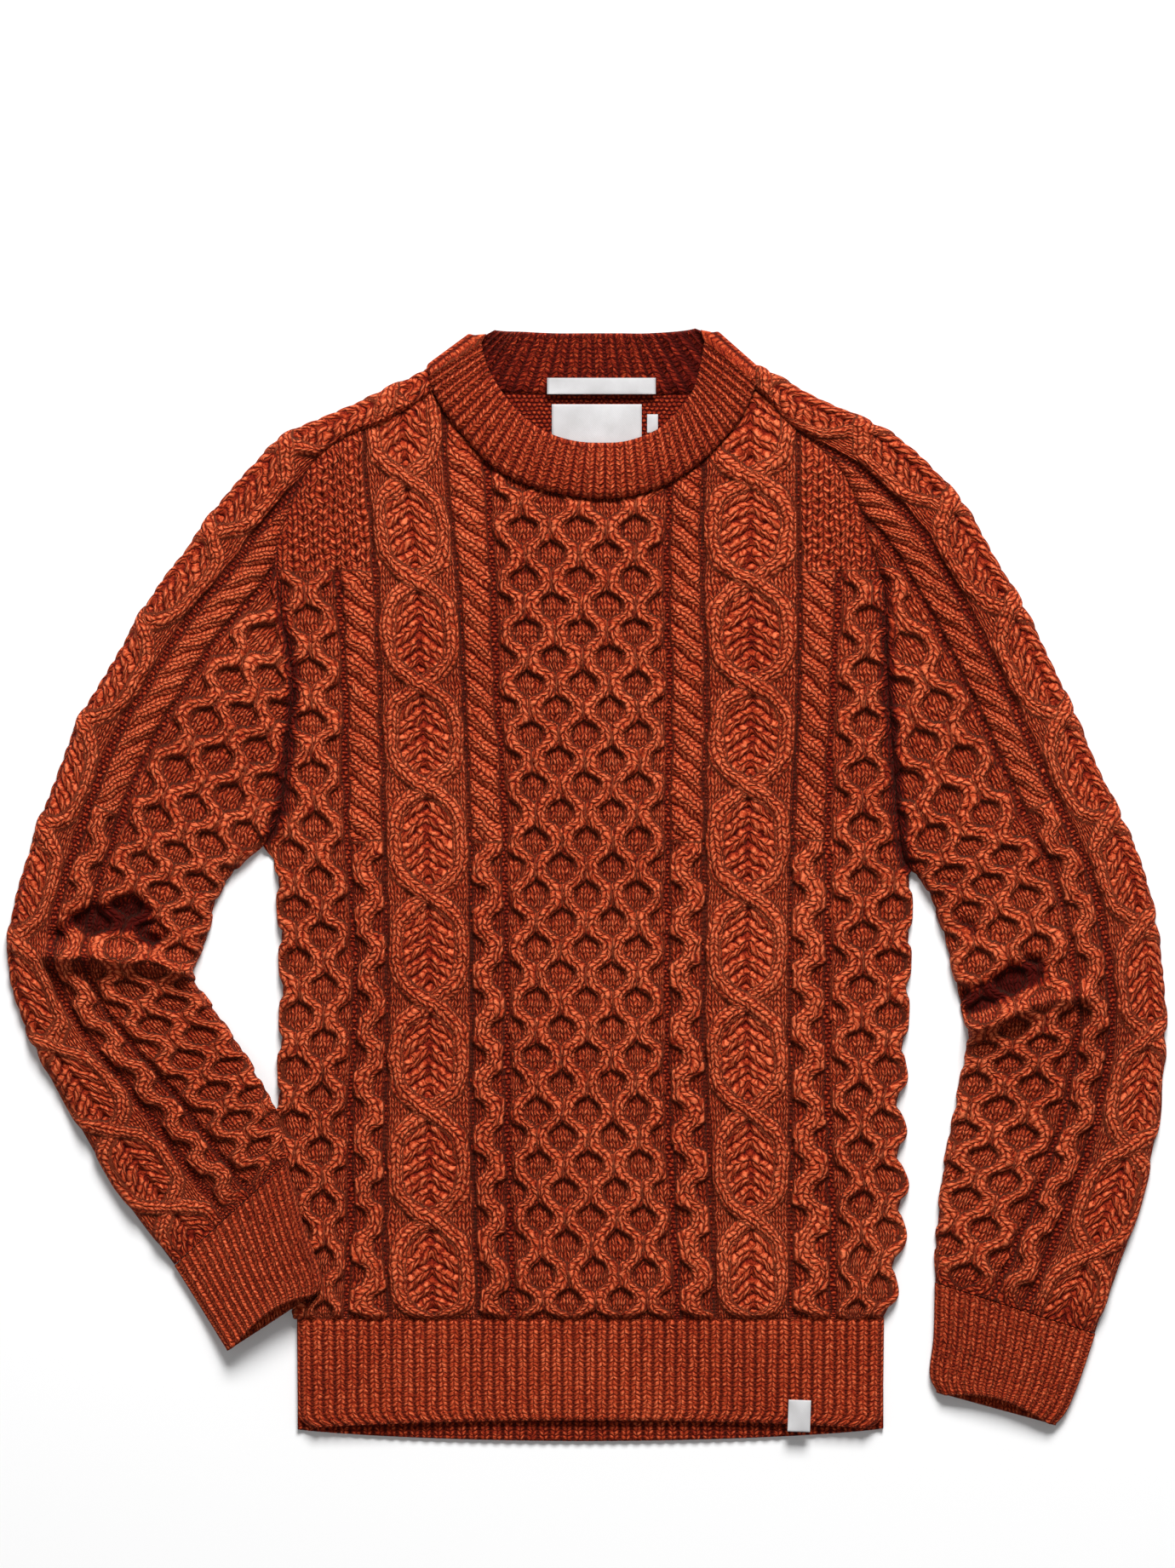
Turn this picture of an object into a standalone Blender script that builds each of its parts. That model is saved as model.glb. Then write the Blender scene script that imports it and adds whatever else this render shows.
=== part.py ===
"""An aran pullover laid out flat on a table, face up.

Every table and size below is in millimetres on the laid-out garment: +X to the right of the
picture, +Y towards the neck, +Z up from the table, measured from the middle of the garment's
box.  Stitches are counted out from the middle of the front and rows up from the welt, so the
cables keep their knitted grid wherever the cloth is pulled.  The solids are scaled to metres.
"""
import bpy
import bmesh
import numpy as np
from collections import namedtuple
from math import pi, radians

MM = 0.001

# ---------------------------------------------------------------- driving sizes
WALL = 3.0                 # plain knitted cloth
SEAM_GAP = 0.4             # between two pieces at a seam
CUT_SLACK = 0.5            # more room along a cut edge, whose straight steps take corners short
LAYER_GAP = 0.3            # between two layers that lie on each other
FRONT_INSIDE = 4.0         # height of the front's plain inner face over the table
FOLD_REACH = 6.0           # how far in from a side fold the cloth starts to turn down
CABLE = 3.0                # height of a cable strand over the cloth
ROW = 4.24                 # one knitted row
STITCH = 4.5               # one stitch of the sleeves

HEM_FRONT = -345.0         # front hem at its highest, near the middle
HEM_BACK = -360.0          # back hem, which shows below it
HEM_FRONT_CORNER, HEM_BACK_CORNER = -351.0, -352.0
WELT_TOP = -281.0
WELT_LEFT, WELT_RIGHT = -187.0, 192.0
WELT_RIBS = 50
WELT_RIB = 1.3
CUFF_RIBS = 16
CUFF_RIB = 1.2

COLLAR_WALL = 5.0          # doubled rib
COLLAR_RIB = 0.8
COLLAR_FOLD = 3.0          # radius of the band's middle where it turns at a shoulder
COLLAR_FLAT_FROM = 0.7     # the band lies flat from here on, as a share of its tables' first step

LABEL_WALL = 0.6

BAND_ROWS = 5              # plain faces are one flat face for each band of so many rows of points
SLEEVE_ROWS = 4            # knitted rows from one row of a sleeve's points to the next
FOLD_IN = np.array((FOLD_REACH, 2.8, 0.8, 0.0))     # the turned-down edge's points, in from the fold
BELOW_PLACES = (0.2, 0.42, 0.62, 0.82, 1.0)         # where a lower layer's points run across
CABLE_FADE = 9.0           # cables flatten so near a fold
BEYOND = 230.0             # well outside the body's side folds
SNAP = 1.6                 # points so near a cut line slide on to it
SNAP_REACH = 20.0
JOIN = 1.8                 # points of a cut edge nearer than this are one

# ---------------------------------------------------------------- tables
# The front: where the gutters between its cable columns lie, every 16 rows.
Level = namedtuple("Level", "height side_l wave_l leaf_l rope_l comb_l comb_r rope_r leaf_r wave_r side_r")
ROWS_PER_LEVEL = 16
LEVELS = (
    Level(-281, -188, -156, -126, -70, -47, 59, 84, 131, 160, 193),
    Level(-216, -194, -152, -129, -73, -50, 56, 82, 130, 159, 202),
    Level(-147, -197, -153, -129, -75, -51, 52, 78, 131, 156, 201),
    Level(-77, -195, -149, -128, -75, -52, 52, 76, 130, 155, 205),
    Level(-8, -197, -152, -129, -75, -52, 52, 77, 131, 156, 207),
    Level(62, -204, -155, -130, -77, -54, 53, 77, 133, 156, 207),
    Level(128, -206, -156, -133, -80, -58, 53, 78, 136, 159, 208),
    Level(195, -209, -160, -135, -84, -61, 52, 75, 136, 162, 211),
    Level(261, -212, -163, -142, -91, -64, 53, 75, 136, 162, 211),
    Level(327, -214, -166, -145, -94, -65, 53, 75, 136, 162, 211),
)
SIDE_STITCH = 49.0
GUTTER_STITCHES = (-SIDE_STITCH, -37.25, -31.75, -18.25, -12.75, 12.75, 18.25, 31.75, 37.25, SIDE_STITCH)
LEAF_STITCH, ROPE_STITCH, WAVE_STITCH = 25.0, 15.5, 34.5     # middles of the columns
MOSS_FROM_ROW = 112        # above it the outer columns are moss stitch
SCALLOP = 2.2              # the side fold winds in and out with the cells

# The sleeves, from the cuff seam to the neck: seam side, fold side, and how many stitches in
# from the fold the middle of the leaf cable runs.
Station = namedtuple("Station", "name seam_x seam_y fold_x fold_y leaf")
RIGHT_SLEEVE = (
    Station("cuff seam", 225, -257, 328, -290, 8.0),
    Station("low forearm", 229, -200, 350, -225, 7.0),
    Station("forearm", 236, -160, 364, -172, 5.0),
    Station("below elbow", 243, -123, 370, -127, 4.5),
    Station("elbow", 247, -99, 371.8, -82, 4.4),
    Station("above elbow", 240, -68, 368, -40, 4.4),
    Station("low upper arm", 229, -25, 358, 8, 4.4),
    Station("near underarm", 218, 1, 343, 43, 4.2),
    Station("underarm", 204, 19, 328, 75, 4.0),
    Station("low armhole", 198, 78, 306, 125, 3.6),
    Station("mid armhole", 194, 134, 284, 171, 3.3),
    Station("high armhole", 192, 187, 263, 208, 3.3),
    Station("cap", 183, 218, 243, 242, 3.3),
    Station("shoulder", 174, 246, 218, 271, 3.0),
    Station("low strap", 163, 268, 196, 289, 2.4),
    Station("strap", 146, 284, 173, 301, 2.0),
    Station("high strap", 127, 300, 146, 313, 1.6),
    Station("neck", 112, 317, 118, 328, 1.4),
)
LEFT_SLEEVE = (
    Station("cuff seam", -193, -179, -266, -246, 6.5),
    Station("low forearm", -200, -150, -296, -206, 6.0),
    Station("forearm", -211, -128, -317, -172, 5.5),
    Station("below elbow", -224, -106, -336, -138, 4.5),
    Station("low elbow", -243, -79, -358, -98, 3.5),
    Station("elbow", -255, -58, -371, -57, 2.5),
    Station("above elbow", -246, -35, -368, -15, 1.5),
    Station("low upper arm", -239, -8, -355, 29, 0.5),
    Station("near underarm", -224, 13, -341, 67, 0.0),
    Station("underarm", -200, 38, -327, 103, 0.0),
    Station("low armhole", -193, 86, -302, 146, 0.0),
    Station("mid armhole", -190, 130, -275, 191, 0.5),
    Station("high armhole", -198, 180, -255, 217, 1.0),
    Station("cap", -200, 213, -235, 245, 1.0),
    Station("shoulder", -189, 246, -214, 269, 1.0),
    Station("low strap", -175, 273, -192, 289, 1.0),
    Station("strap", -153, 289, -163, 302, 1.0),
    Station("high strap", -129, 298, -137, 313, 1.0),
    Station("neck", -102, 315, -107, 328, 1.0),
)
RIGHT_CUFF = (
    Station("cuff seam", 224.8, -257.5, 327.8, -290.5, 0),
    Station("mid cuff", 224, -292, 318, -320, 0),
    Station("mouth", 222, -326, 306, -349, 0),
)
LEFT_CUFF = (
    Station("cuff seam", -192.7, -179.4, -265.7, -246.4, 0),
    Station("mid cuff", -181, -219, -251, -276, 0),
    Station("mouth", -169, -259, -233, -301, 0),
)

# Soft bends of the sleeves' upper layer: from, to, half width, and height (a trough is below 0).
Bend = namedtuple("Bend", "name x0 y0 x1 y1 spread rise")
BENDS = (
    Bend("right elbow, puffed", 262, -84, 330, -70, 34, 4.0),
    Bend("right elbow, crease", 241, -72, 300, -62, 6, -4.2),
    Bend("right elbow, lip", 250, -91, 318, -74, 9, 3.6),
    Bend("right cap, crease", 205, 262, 232, 245, 7, -1.0),
    Bend("left elbow, puffed", -335, -40, -275, -50, 32, 4.0),
    Bend("left elbow, hollow", -336, -24, -268, -38, 9, -4.2),
    Bend("left elbow, lip", -326, -46, -256, -57, 9, 3.6),
)

# The left forearm climbs on to the body's side, whose cables reach this height.
LIFT = 11.2
LIFT_X_START, LIFT_X_END = -256, -203
LIFT_Y_START, LIFT_Y_END = -78, -140

# The collar band: its seam edge and its free edge, round the front and then round the back.
Rib = namedtuple("Rib", "name seam_x seam_y free_x free_y")
COLLAR_FRONT = (
    Rib("left fold", -104, 332, -68, 358.5),
    Rib("left side", -101, 322, -67, 344),
    Rib("left curve", -93, 306, -63, 331),
    Rib("left curve", -79, 288, -54, 316),
    Rib("left curve", -61, 269, -42, 302),
    Rib("left low", -39, 257, -27, 291.5),
    Rib("left low", -16, 251, -9, 285.5),
    Rib("middle", 8, 248, 9, 284),
    Rib("right low", 30, 250, 27, 285.5),
    Rib("right low", 53, 258, 46, 293),
    Rib("right curve", 73, 271, 59, 305),
    Rib("right curve", 89, 287, 68, 317),
    Rib("right curve", 101, 302.5, 72, 329),
    Rib("right side", 108, 318, 75, 344),
    Rib("right fold", 112, 330, 77, 360.9),
)
COLLAR_BACK = (
    Rib("right fold", 112, 330, 77, 360.9),
    Rib("right side", 95, 322, 65, 357),
    Rib("right back", 61, 316, 40, 355),
    Rib("right back", 28, 315, 21, 355),
    Rib("middle back", 0, 315, 0, 355),
    Rib("left back", -32, 316, -21, 355),
    Rib("left back", -65, 318, -42, 356),
    Rib("left side", -90, 324, -55, 356.5),
    Rib("left fold", -104, 332, -68, 358.5),
)
COLLAR_FRONT_RIBS, COLLAR_BACK_RIBS = 38, 20

# Labels, all bare: centre, size, turn and the height of the face they lie on.
Label = namedtuple("Label", "name x y width length turn rest")
LABELS = (
    Label("neck_label_long", 9.5, 320.5, 70, 10.5, 0, COLLAR_WALL + COLLAR_RIB + LAYER_GAP),
    Label("neck_label_main", 6.5, 293.0, 58, 32, 0, WALL + LAYER_GAP),
    Label("size_tab", 42.5, 296.5, 7, 12, 0, WALL + LAYER_GAP),
    Label("hem_label", 137.0, -343.0, 14.5, 20.5, -2, FRONT_INSIDE + WALL + WELT_RIB + LAYER_GAP),
)

RUST = (0.46, 0.125, 0.045, 1.0)
LABEL_WHITE = (0.72, 0.70, 0.67, 1.0)


# ---------------------------------------------------------------- curves through the tables
def smooth(points, t):
    """A soft curve through the points, read at t: 0 is the first point, 1 the second."""
    p = np.asarray(points, float)
    last = len(p) - 1
    t = np.clip(np.atleast_1d(np.asarray(t, float)), 0, last)
    i = np.minimum(t.astype(int), last - 1)
    f = (t - i)[:, None]
    a, b = p[np.maximum(i - 1, 0)], p[i]
    c, d = p[i + 1], p[np.minimum(i + 2, last)]
    return 0.5 * (2 * b + (c - a) * f + (2 * a - 5 * b + 4 * c - d) * f ** 2
                  + (3 * b - a - 3 * c + d) * f ** 3)


def step(value, start, end):
    """0 at start, 1 at end, with soft ends."""
    f = np.clip((value - start) / (end - start), 0, 1)
    return f * f * (3 - 2 * f)


def quarter(distance, reach):
    """The height, 0 to 1, of a rounded edge at a distance in from it."""
    return np.sqrt(1 - (1 - np.clip(distance / reach, 0, 1)) ** 2)


def beside(line, gap):
    """The line moved sideways by the gap, to the left of its direction."""
    along = np.gradient(line, axis=0)
    along /= np.linalg.norm(along, axis=1)[:, None]
    return line + gap * np.stack((-along[:, 1], along[:, 0]), axis=1)


# ---------------------------------------------------------------- the cables' relief
def strand(offset, half_width):
    """A rounded strand, 0 to 1, across its own width."""
    return np.sqrt(1 - np.clip(np.abs(offset) / half_width, 0, 1) ** 2)


def swing(row):
    """The strands of a honeycomb or a wave go out and back once in eight rows."""
    return np.cos(pi * row / 4)


def honeycomb(stitch, row, strands):
    """Strands that part round a cell and meet again: (resting stitch, side they start to)."""
    high = np.zeros_like(stitch)
    for rest, side in strands:
        high = np.maximum(high, strand(stitch - rest - side * swing(row), 1.35))
    return 0.4 + (CABLE - 0.4) * high


def wave(stitch, row):
    """One strand that winds from side to side."""
    return CABLE * 0.9 * strand(stitch - 0.9 * swing(row), 1.7)


def leaf_opening(row):
    """How far the two framing strands of a leaf stand from its middle, in stitches."""
    return np.maximum(4.7 * np.abs(np.sin(pi * row / 16)) ** 0.7, 0.9)


def leaf(stitch, row):
    """Two strands that cross every sixteen rows round a veined leaf."""
    opening = leaf_opening(row)
    frame = strand(np.abs(stitch) - opening, 1.3)
    inside = np.clip((opening - np.abs(stitch)) / 1.2, 0, 1)
    vein = 1 - 0.5 * strand(stitch, 0.9)
    return 0.3 + np.maximum((CABLE - 0.3) * frame, 1.7 * inside * vein)


CENTRE_STRANDS = tuple((4 * j + 2, 1 if j % 2 == 0 else -1) for j in range(-3, 3))
SIDE_STRANDS = ((40, -1), (44, 1), (48, -1))


def front_relief(stitch, row):
    """Height of the front's outer points over its plain wall."""
    away = np.abs(stitch)
    side = np.sign(stitch)
    moss = np.full_like(stitch, 0.9)
    outer_wave = wave(stitch - side * WAVE_STITCH, row)
    side_comb = honeycomb(away, row - 2, SIDE_STRANDS)
    outer = np.where(away < 37.25, outer_wave, side_comb)
    outer = outer + (moss - outer) * step(row, MOSS_FROM_ROW, MOSS_FROM_ROW + 4)
    relief = np.select(
        (away <= 12.5, away < 13.0, away < 18.0, away < 18.5, away < 31.5, away < 32.0),
        (honeycomb(stitch, row, CENTRE_STRANDS), 0.0, wave(stitch - side * ROPE_STITCH, row),
         0.0, leaf(stitch - side * LEAF_STITCH, row), 0.0), outer)
    gutter = np.abs(away - 37.25) < 0.4
    return np.where(gutter, 0.0, relief) * step(row, -1, 2)


def sleeve_relief(inwards, row):
    """The same for a sleeve, in stitches in from the middle of its leaf."""
    strands = tuple((15 + 4 * j, -1 if j % 2 == 0 else 1) for j in range(5))
    return np.select(
        (inwards < 6.5, inwards < 7.0, inwards < 12.0, inwards < 12.5),
        (leaf(inwards, row), 0.0, wave(inwards - 9.5, row), 0.0),
        honeycomb(inwards, row, strands))


# ---------------------------------------------------------------- cloth walls
def inside_outline(points, outline):
    """Which points lie inside a closed outline."""
    x, y = points[:, 0:1], points[:, 1:2]
    a, b = outline, np.roll(outline, -1, axis=0)
    rises = (a[:, 1] > y) != (b[:, 1] > y)
    run = np.where(b[:, 1] == a[:, 1], 1.0, b[:, 1] - a[:, 1])
    crossing = a[:, 0] + (y - a[:, 1]) / run * (b[:, 0] - a[:, 0])
    return (rises & (x < crossing)).sum(axis=1) % 2 == 1


def nearest_on_outline(point, outline):
    """The outline's nearest point, and how far it is."""
    a, b = outline, np.roll(outline, -1, axis=0)
    along = b - a
    length = np.maximum((along ** 2).sum(axis=1), 1e-9)
    f = np.clip(((point - a) * along).sum(axis=1) / length, 0, 1)
    spots = a + along * f[:, None]
    far = np.linalg.norm(spots - point, axis=1)
    return spots[far.argmin()], far.min()


def trim(bm, outline, cut):
    """Cuts a sheet along an outline: its edge points slide on to the line."""
    points = np.array([(v.co.x, v.co.y) for v in bm.verts])
    keep = inside_outline(points, outline)
    for v, point, kept in zip(bm.verts, points, keep):
        spot, far = nearest_on_outline(point, outline)
        if far < SNAP:
            v[cut] = 2
        elif not kept:
            v[cut] = 1
        if v[cut]:
            v.co.x, v.co.y = spot if far < SNAP_REACH else point
    spare = [f for f in bm.faces if all(v[cut] for v in f.verts)]
    centres = np.array([f.calc_center_median()[:2] for f in spare]).reshape(-1, 2)
    kept = inside_outline(centres, outline)
    gone = [f for f, k in zip(spare, kept) if not k or any(
        v[cut] == 1 and nearest_on_outline(np.array(v.co[:2]), outline)[1] > 1 for v in f.verts)]
    bmesh.ops.delete(bm, geom=gone, context="FACES")
    bmesh.ops.remove_doubles(bm, verts=[v for v in bm.verts if v[cut]], dist=JOIN)
    slivers = [f for f in bm.faces if f.calc_area() < 1.0]
    bmesh.ops.delete(bm, geom=slivers, context="FACES")


def cloth(name, inner, outer, cloth_material, outline=None, ring=False, plain_limit=2.0):
    """One closed wall from two grids of points, its inside and its outside."""
    rows, columns = outer.shape[:2]
    bm = bmesh.new()
    bmesh.ops.create_grid(bm, x_segments=columns - 1, y_segments=rows - 1, size=1)
    column, row = bm.verts.layers.int.new("column"), bm.verts.layers.int.new("row")
    cut, face_side = bm.verts.layers.int.new("cut"), bm.verts.layers.int.new("face_side")
    for v in bm.verts:
        v[column] = round((v.co.x + 1) / 2 * (columns - 1))
        v[row] = round((v.co.y + 1) / 2 * (rows - 1))
        v.co = inner[v[row], v[column]]
    if outline is not None:
        trim(bm, outline, cut)
    if ring:
        bmesh.ops.remove_doubles(bm, verts=bm.verts, dist=0.01)
    grown = bmesh.ops.extrude_face_region(bm, geom=bm.faces[:])["geom"]
    for v in (g for g in grown if isinstance(g, bmesh.types.BMVert)):
        x, y, z = outer[v[row], v[column]]
        v.co = (v.co.x, v.co.y, z) if v[cut] else (x, y, z)
        v[face_side] = 1
    bmesh.ops.remove_doubles(bm, verts=bm.verts, dist=0.05)
    bmesh.ops.recalc_face_normals(bm, faces=bm.faces)
    if bm.calc_volume(signed=True) < 0:
        bmesh.ops.reverse_faces(bm, faces=bm.faces)
    for side, limit in ((0, plain_limit), (1, 0.3)):
        for along in (False, True):
            edges = [e for e in bm.edges if all(v[face_side] == side for v in e.verts)
                     and (e.verts[0][row] == e.verts[1][row]) == along
                     and not (along and e.verts[0][row] % BAND_ROWS == 0)]
            points = [v for v in bm.verts if v[face_side] == side and along]
            bmesh.ops.dissolve_limit(bm, angle_limit=radians(limit), verts=points, edges=edges)
    bmesh.ops.triangulate(bm, faces=bm.faces)
    return finish(name, bm, cloth_material)


def finish(name, bm, cloth_material):
    """The mesh in millimetres becomes an object in metres."""
    bmesh.ops.scale(bm, vec=(MM, MM, MM), verts=bm.verts)
    mesh = bpy.data.meshes.new(name)
    bm.to_mesh(mesh)
    bm.free()
    mesh.materials.append(cloth_material)
    thing = bpy.data.objects.new(name, mesh)
    garment.objects.link(thing)
    return thing


def plate(name, outline, height, cloth_material):
    """Flat cloth that lies on the table, from its outline."""
    curve = bpy.data.curves.new(name, "CURVE")
    curve.dimensions = "2D"
    curve.fill_mode = "BOTH"
    curve.extrude = height / 2 * MM
    spline = curve.splines.new("POLY")
    spline.points.add(len(outline) - 1)
    for point, (x, y) in zip(spline.points, outline):
        point.co = (x * MM, y * MM, 0, 1)
    spline.use_cyclic_u = True
    curve.materials.append(cloth_material)
    thing = bpy.data.objects.new(name, curve)
    thing.location.z = height / 2 * MM
    garment.objects.link(thing)
    return thing


def material(name, colour, roughness):
    """A plain finish in the piece's own colour."""
    made = bpy.data.materials.new(name)
    made.use_nodes = True
    shader = made.node_tree.nodes["Principled BSDF"]
    shader.inputs["Base Color"].default_value = colour
    shader.inputs["Roughness"].default_value = roughness
    shader.inputs["Metallic"].default_value = 0.0
    return made


# ---------------------------------------------------------------- seam lines
def seam_line(stations, places):
    """The seam side of a sleeve at these places in its table."""
    return smooth([(s.seam_x, s.seam_y) for s in stations], places)


def fold_line(stations, places):
    """The folded side of a sleeve at these places in its table."""
    return smooth([(s.fold_x, s.fold_y) for s in stations], places)


def sleeve_places(stations, rows_apart):
    """Places along a sleeve's table, evenly apart in knitted rows, and the row of each."""
    fine = np.linspace(0, len(stations) - 1, 400)
    middle = (seam_line(stations, fine) + fold_line(stations, fine)) / 2
    run = np.concatenate(((0,), np.cumsum(np.linalg.norm(np.diff(middle, axis=0), axis=1)))) / ROW
    count = int(round(run[-1] / rows_apart))
    rows = np.linspace(0, run[-1], count + 1)
    return np.interp(rows, run, fine), rows


def underarm(stations):
    """The place in the table where a sleeve's seam meets the body."""
    return [s.name for s in stations].index("underarm")


def armhole(stations):
    """The corner points of a sleeve's edge along the body, from below the underarm to the neck."""
    places, _ = sleeve_places(stations, SLEEVE_ROWS)
    start = underarm(stations) - 1
    on_body = places[places > start]
    return seam_line(stations, np.concatenate(((start,), on_body)))


def collar_edges(table, sections, inset=0.0):
    """Seam edge and free edge of half the band, section by section; inset stops short of the folds."""
    places = np.linspace(inset, len(table) - 1 - inset, sections)
    seam = smooth([(r.seam_x, r.seam_y) for r in table], places)
    free = smooth([(r.free_x, r.free_y) for r in table], places)
    return seam, free


# ---------------------------------------------------------------- pieces
def front_columns(row):
    """Stitches at which the front's points run up: strand tops, hollows and gutters."""
    out = float(swing(row))
    side = float(swing(row - 2))
    frame = float(leaf_opening(row))
    centre = [-12, -10 - out, -8, -6 + out, -4, -2 - out, 0, 2 + out, 4, 6 - out, 8, 10 + out, 12]
    sway = 0.9 * out
    right = [12.75, ROPE_STITCH + sway - 1, ROPE_STITCH + sway + 1, 18.25]
    right += [LEAF_STITCH + frame * f for f in (-1, -0.45, 0, 0.45, 1)]
    right += [31.75, WAVE_STITCH + sway - 1, WAVE_STITCH + sway + 1, 37.25]
    left = [12.75, ROPE_STITCH - sway - 1, ROPE_STITCH - sway + 1, 18.25]
    left += [LEAF_STITCH + frame * f for f in (-1, -0.45, 0, 0.45, 1)]
    left += [31.75, WAVE_STITCH - sway - 1, WAVE_STITCH - sway + 1, 37.25]
    edge = [40 - side, 42, 44 + side, 46]
    return np.array([-c for c in reversed(left + edge)] + centre + right + edge)


def front_grid():
    """Outer and inner points of the front, and of the fold at its two sides."""
    rows = np.arange(0, (len(LEVELS) - 1) * ROWS_PER_LEVEL, 2.0)
    outer, inner = [], []
    for row in rows:
        level = smooth(LEVELS, row / ROWS_PER_LEVEL)[0]
        y, gutters = level[0], level[1:].copy()
        waving = SCALLOP * np.cos(pi * (row - 5) / 4) * (1 - step(row, 34, 46))
        gutters[-1] += waving
        gutters[0] += 0.4 * waving
        turned = 1 - float(step(row, 68, 72))
        stitch = front_columns(row)
        x = np.interp(stitch, GUTTER_STITCHES, gutters)
        x = np.concatenate((gutters[0] + FOLD_IN[::-1], x, gutters[-1] - FOLD_IN))
        stitch = np.concatenate((-SIDE_STITCH + FOLD_IN[::-1] / 4, stitch, SIDE_STITCH - FOLD_IN / 4))
        x[4:-4] = np.clip(x[4:-4], gutters[0] + FOLD_REACH + 1.5, gutters[-1] - FOLD_REACH - 1.5)
        within = np.minimum(x - gutters[0], gutters[-1] - x)
        relief = front_relief(stitch, np.full_like(stitch, row)) * quarter(within, CABLE_FADE)
        high = FRONT_INSIDE + WALL + relief
        low = WALL + LAYER_GAP
        z = low + (high - low) * (quarter(within, FOLD_REACH) * turned + 1 - turned)
        z_in = low + (FRONT_INSIDE - low) * (np.clip(within / 4, 0, 1) * turned + 1 - turned)
        drawn_in = WALL + within / 2 * turned + (within - WALL) * (1 - turned)
        within_in = np.where(within < FOLD_REACH, drawn_in, within)
        x_in = np.where(within < gutters[-1] - x, gutters[0] + within_in, gutters[-1] - within_in)
        outer.append(np.stack((x, np.full_like(x, y), z), axis=1))
        inner.append(np.stack((x_in, np.full_like(x, y), z_in), axis=1))
    return np.array(inner), np.array(outer)


def body_outline(neck, gap, bottom):
    """The front's or back's outline above its side folds: armholes, shoulders and neck."""
    left = beside(armhole(LEFT_SLEEVE), -gap)
    right = beside(armhole(RIGHT_SLEEVE), gap)
    corners = np.array(((-BEYOND, bottom), (BEYOND, bottom), (BEYOND, right[0][1])))
    far_left = np.array(((-BEYOND, left[0][1]),))
    return np.concatenate((corners, right, neck, left[::-1], far_left))


def neck_part(line, left_end, right_end):
    """The neck line's points, right to left, that lie between the two shoulder ends."""
    line = line if line[0][0] > line[-1][0] else line[::-1]
    kept = [p for p in line if left_end[0] + 2 < p[0] < right_end[0] - 2]
    return np.array(kept)


def make_front(cloth_material):
    inner, outer = front_grid()
    seam, _ = collar_edges(COLLAR_FRONT, 2 * COLLAR_FRONT_RIBS + 1, COLLAR_FLAT_FROM)
    gap = SEAM_GAP + CUT_SLACK
    neck = beside(seam, -gap)
    ends = armhole(LEFT_SLEEVE)[-1], armhole(RIGHT_SLEEVE)[-1]
    outline = body_outline(neck_part(neck, *ends), gap, WELT_TOP - 30)
    return cloth("front", inner, outer, cloth_material, outline=outline)


def side_edge(side, top):
    """One side edge of the back, from the welt to a little below the underarm."""
    table = smooth(LEVELS, np.arange(0, 80, 4.0) / ROWS_PER_LEVEL)
    line = np.stack((table[:, side], table[:, 0]), axis=1)
    return line[line[:, 1] < top]


def make_back(cloth_material):
    left, right = armhole(LEFT_SLEEVE), armhole(RIGHT_SLEEVE)
    left = beside(left, -SEAM_GAP)[left[:, 1] > LEFT_SLEEVE[underarm(LEFT_SLEEVE)].seam_y]
    right = beside(right, SEAM_GAP)[right[:, 1] > RIGHT_SLEEVE[underarm(RIGHT_SLEEVE)].seam_y]
    left_side = side_edge(1, left[0][1] - 8) + (0.5, 0)
    right_side = side_edge(-1, right[0][1] - 20) - (0.5, 0)
    seam, _ = collar_edges(COLLAR_BACK, 2 * COLLAR_BACK_RIBS + 1, COLLAR_FLAT_FROM)
    neck = neck_part(beside(seam, SEAM_GAP), left[-1], right[-1])
    outline = np.concatenate((right_side, right, neck, left[::-1], left_side[::-1]))
    return plate("back", outline, WALL, cloth_material)


def bend_height(x, y):
    """Sum of the soft ridges and troughs at a place."""
    rise = np.zeros_like(x)
    for bend in BENDS:
        start = np.array((bend.x0, bend.y0))
        along = np.array((bend.x1, bend.y1)) - start
        f = np.clip(((x - start[0]) * along[0] + (y - start[1]) * along[1]) / (along @ along), 0, 1)
        away = np.hypot(x - start[0] - f * along[0], y - start[1] - f * along[1])
        rise = rise + bend.rise * np.exp(-(away / bend.spread) ** 2)
    return rise


def lift_height(x, y):
    """How far the left forearm and cuff are carried up by the body below them."""
    return LIFT * step(x, LIFT_X_START, LIFT_X_END) * step(y, LIFT_Y_START, LIFT_Y_END)


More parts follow.
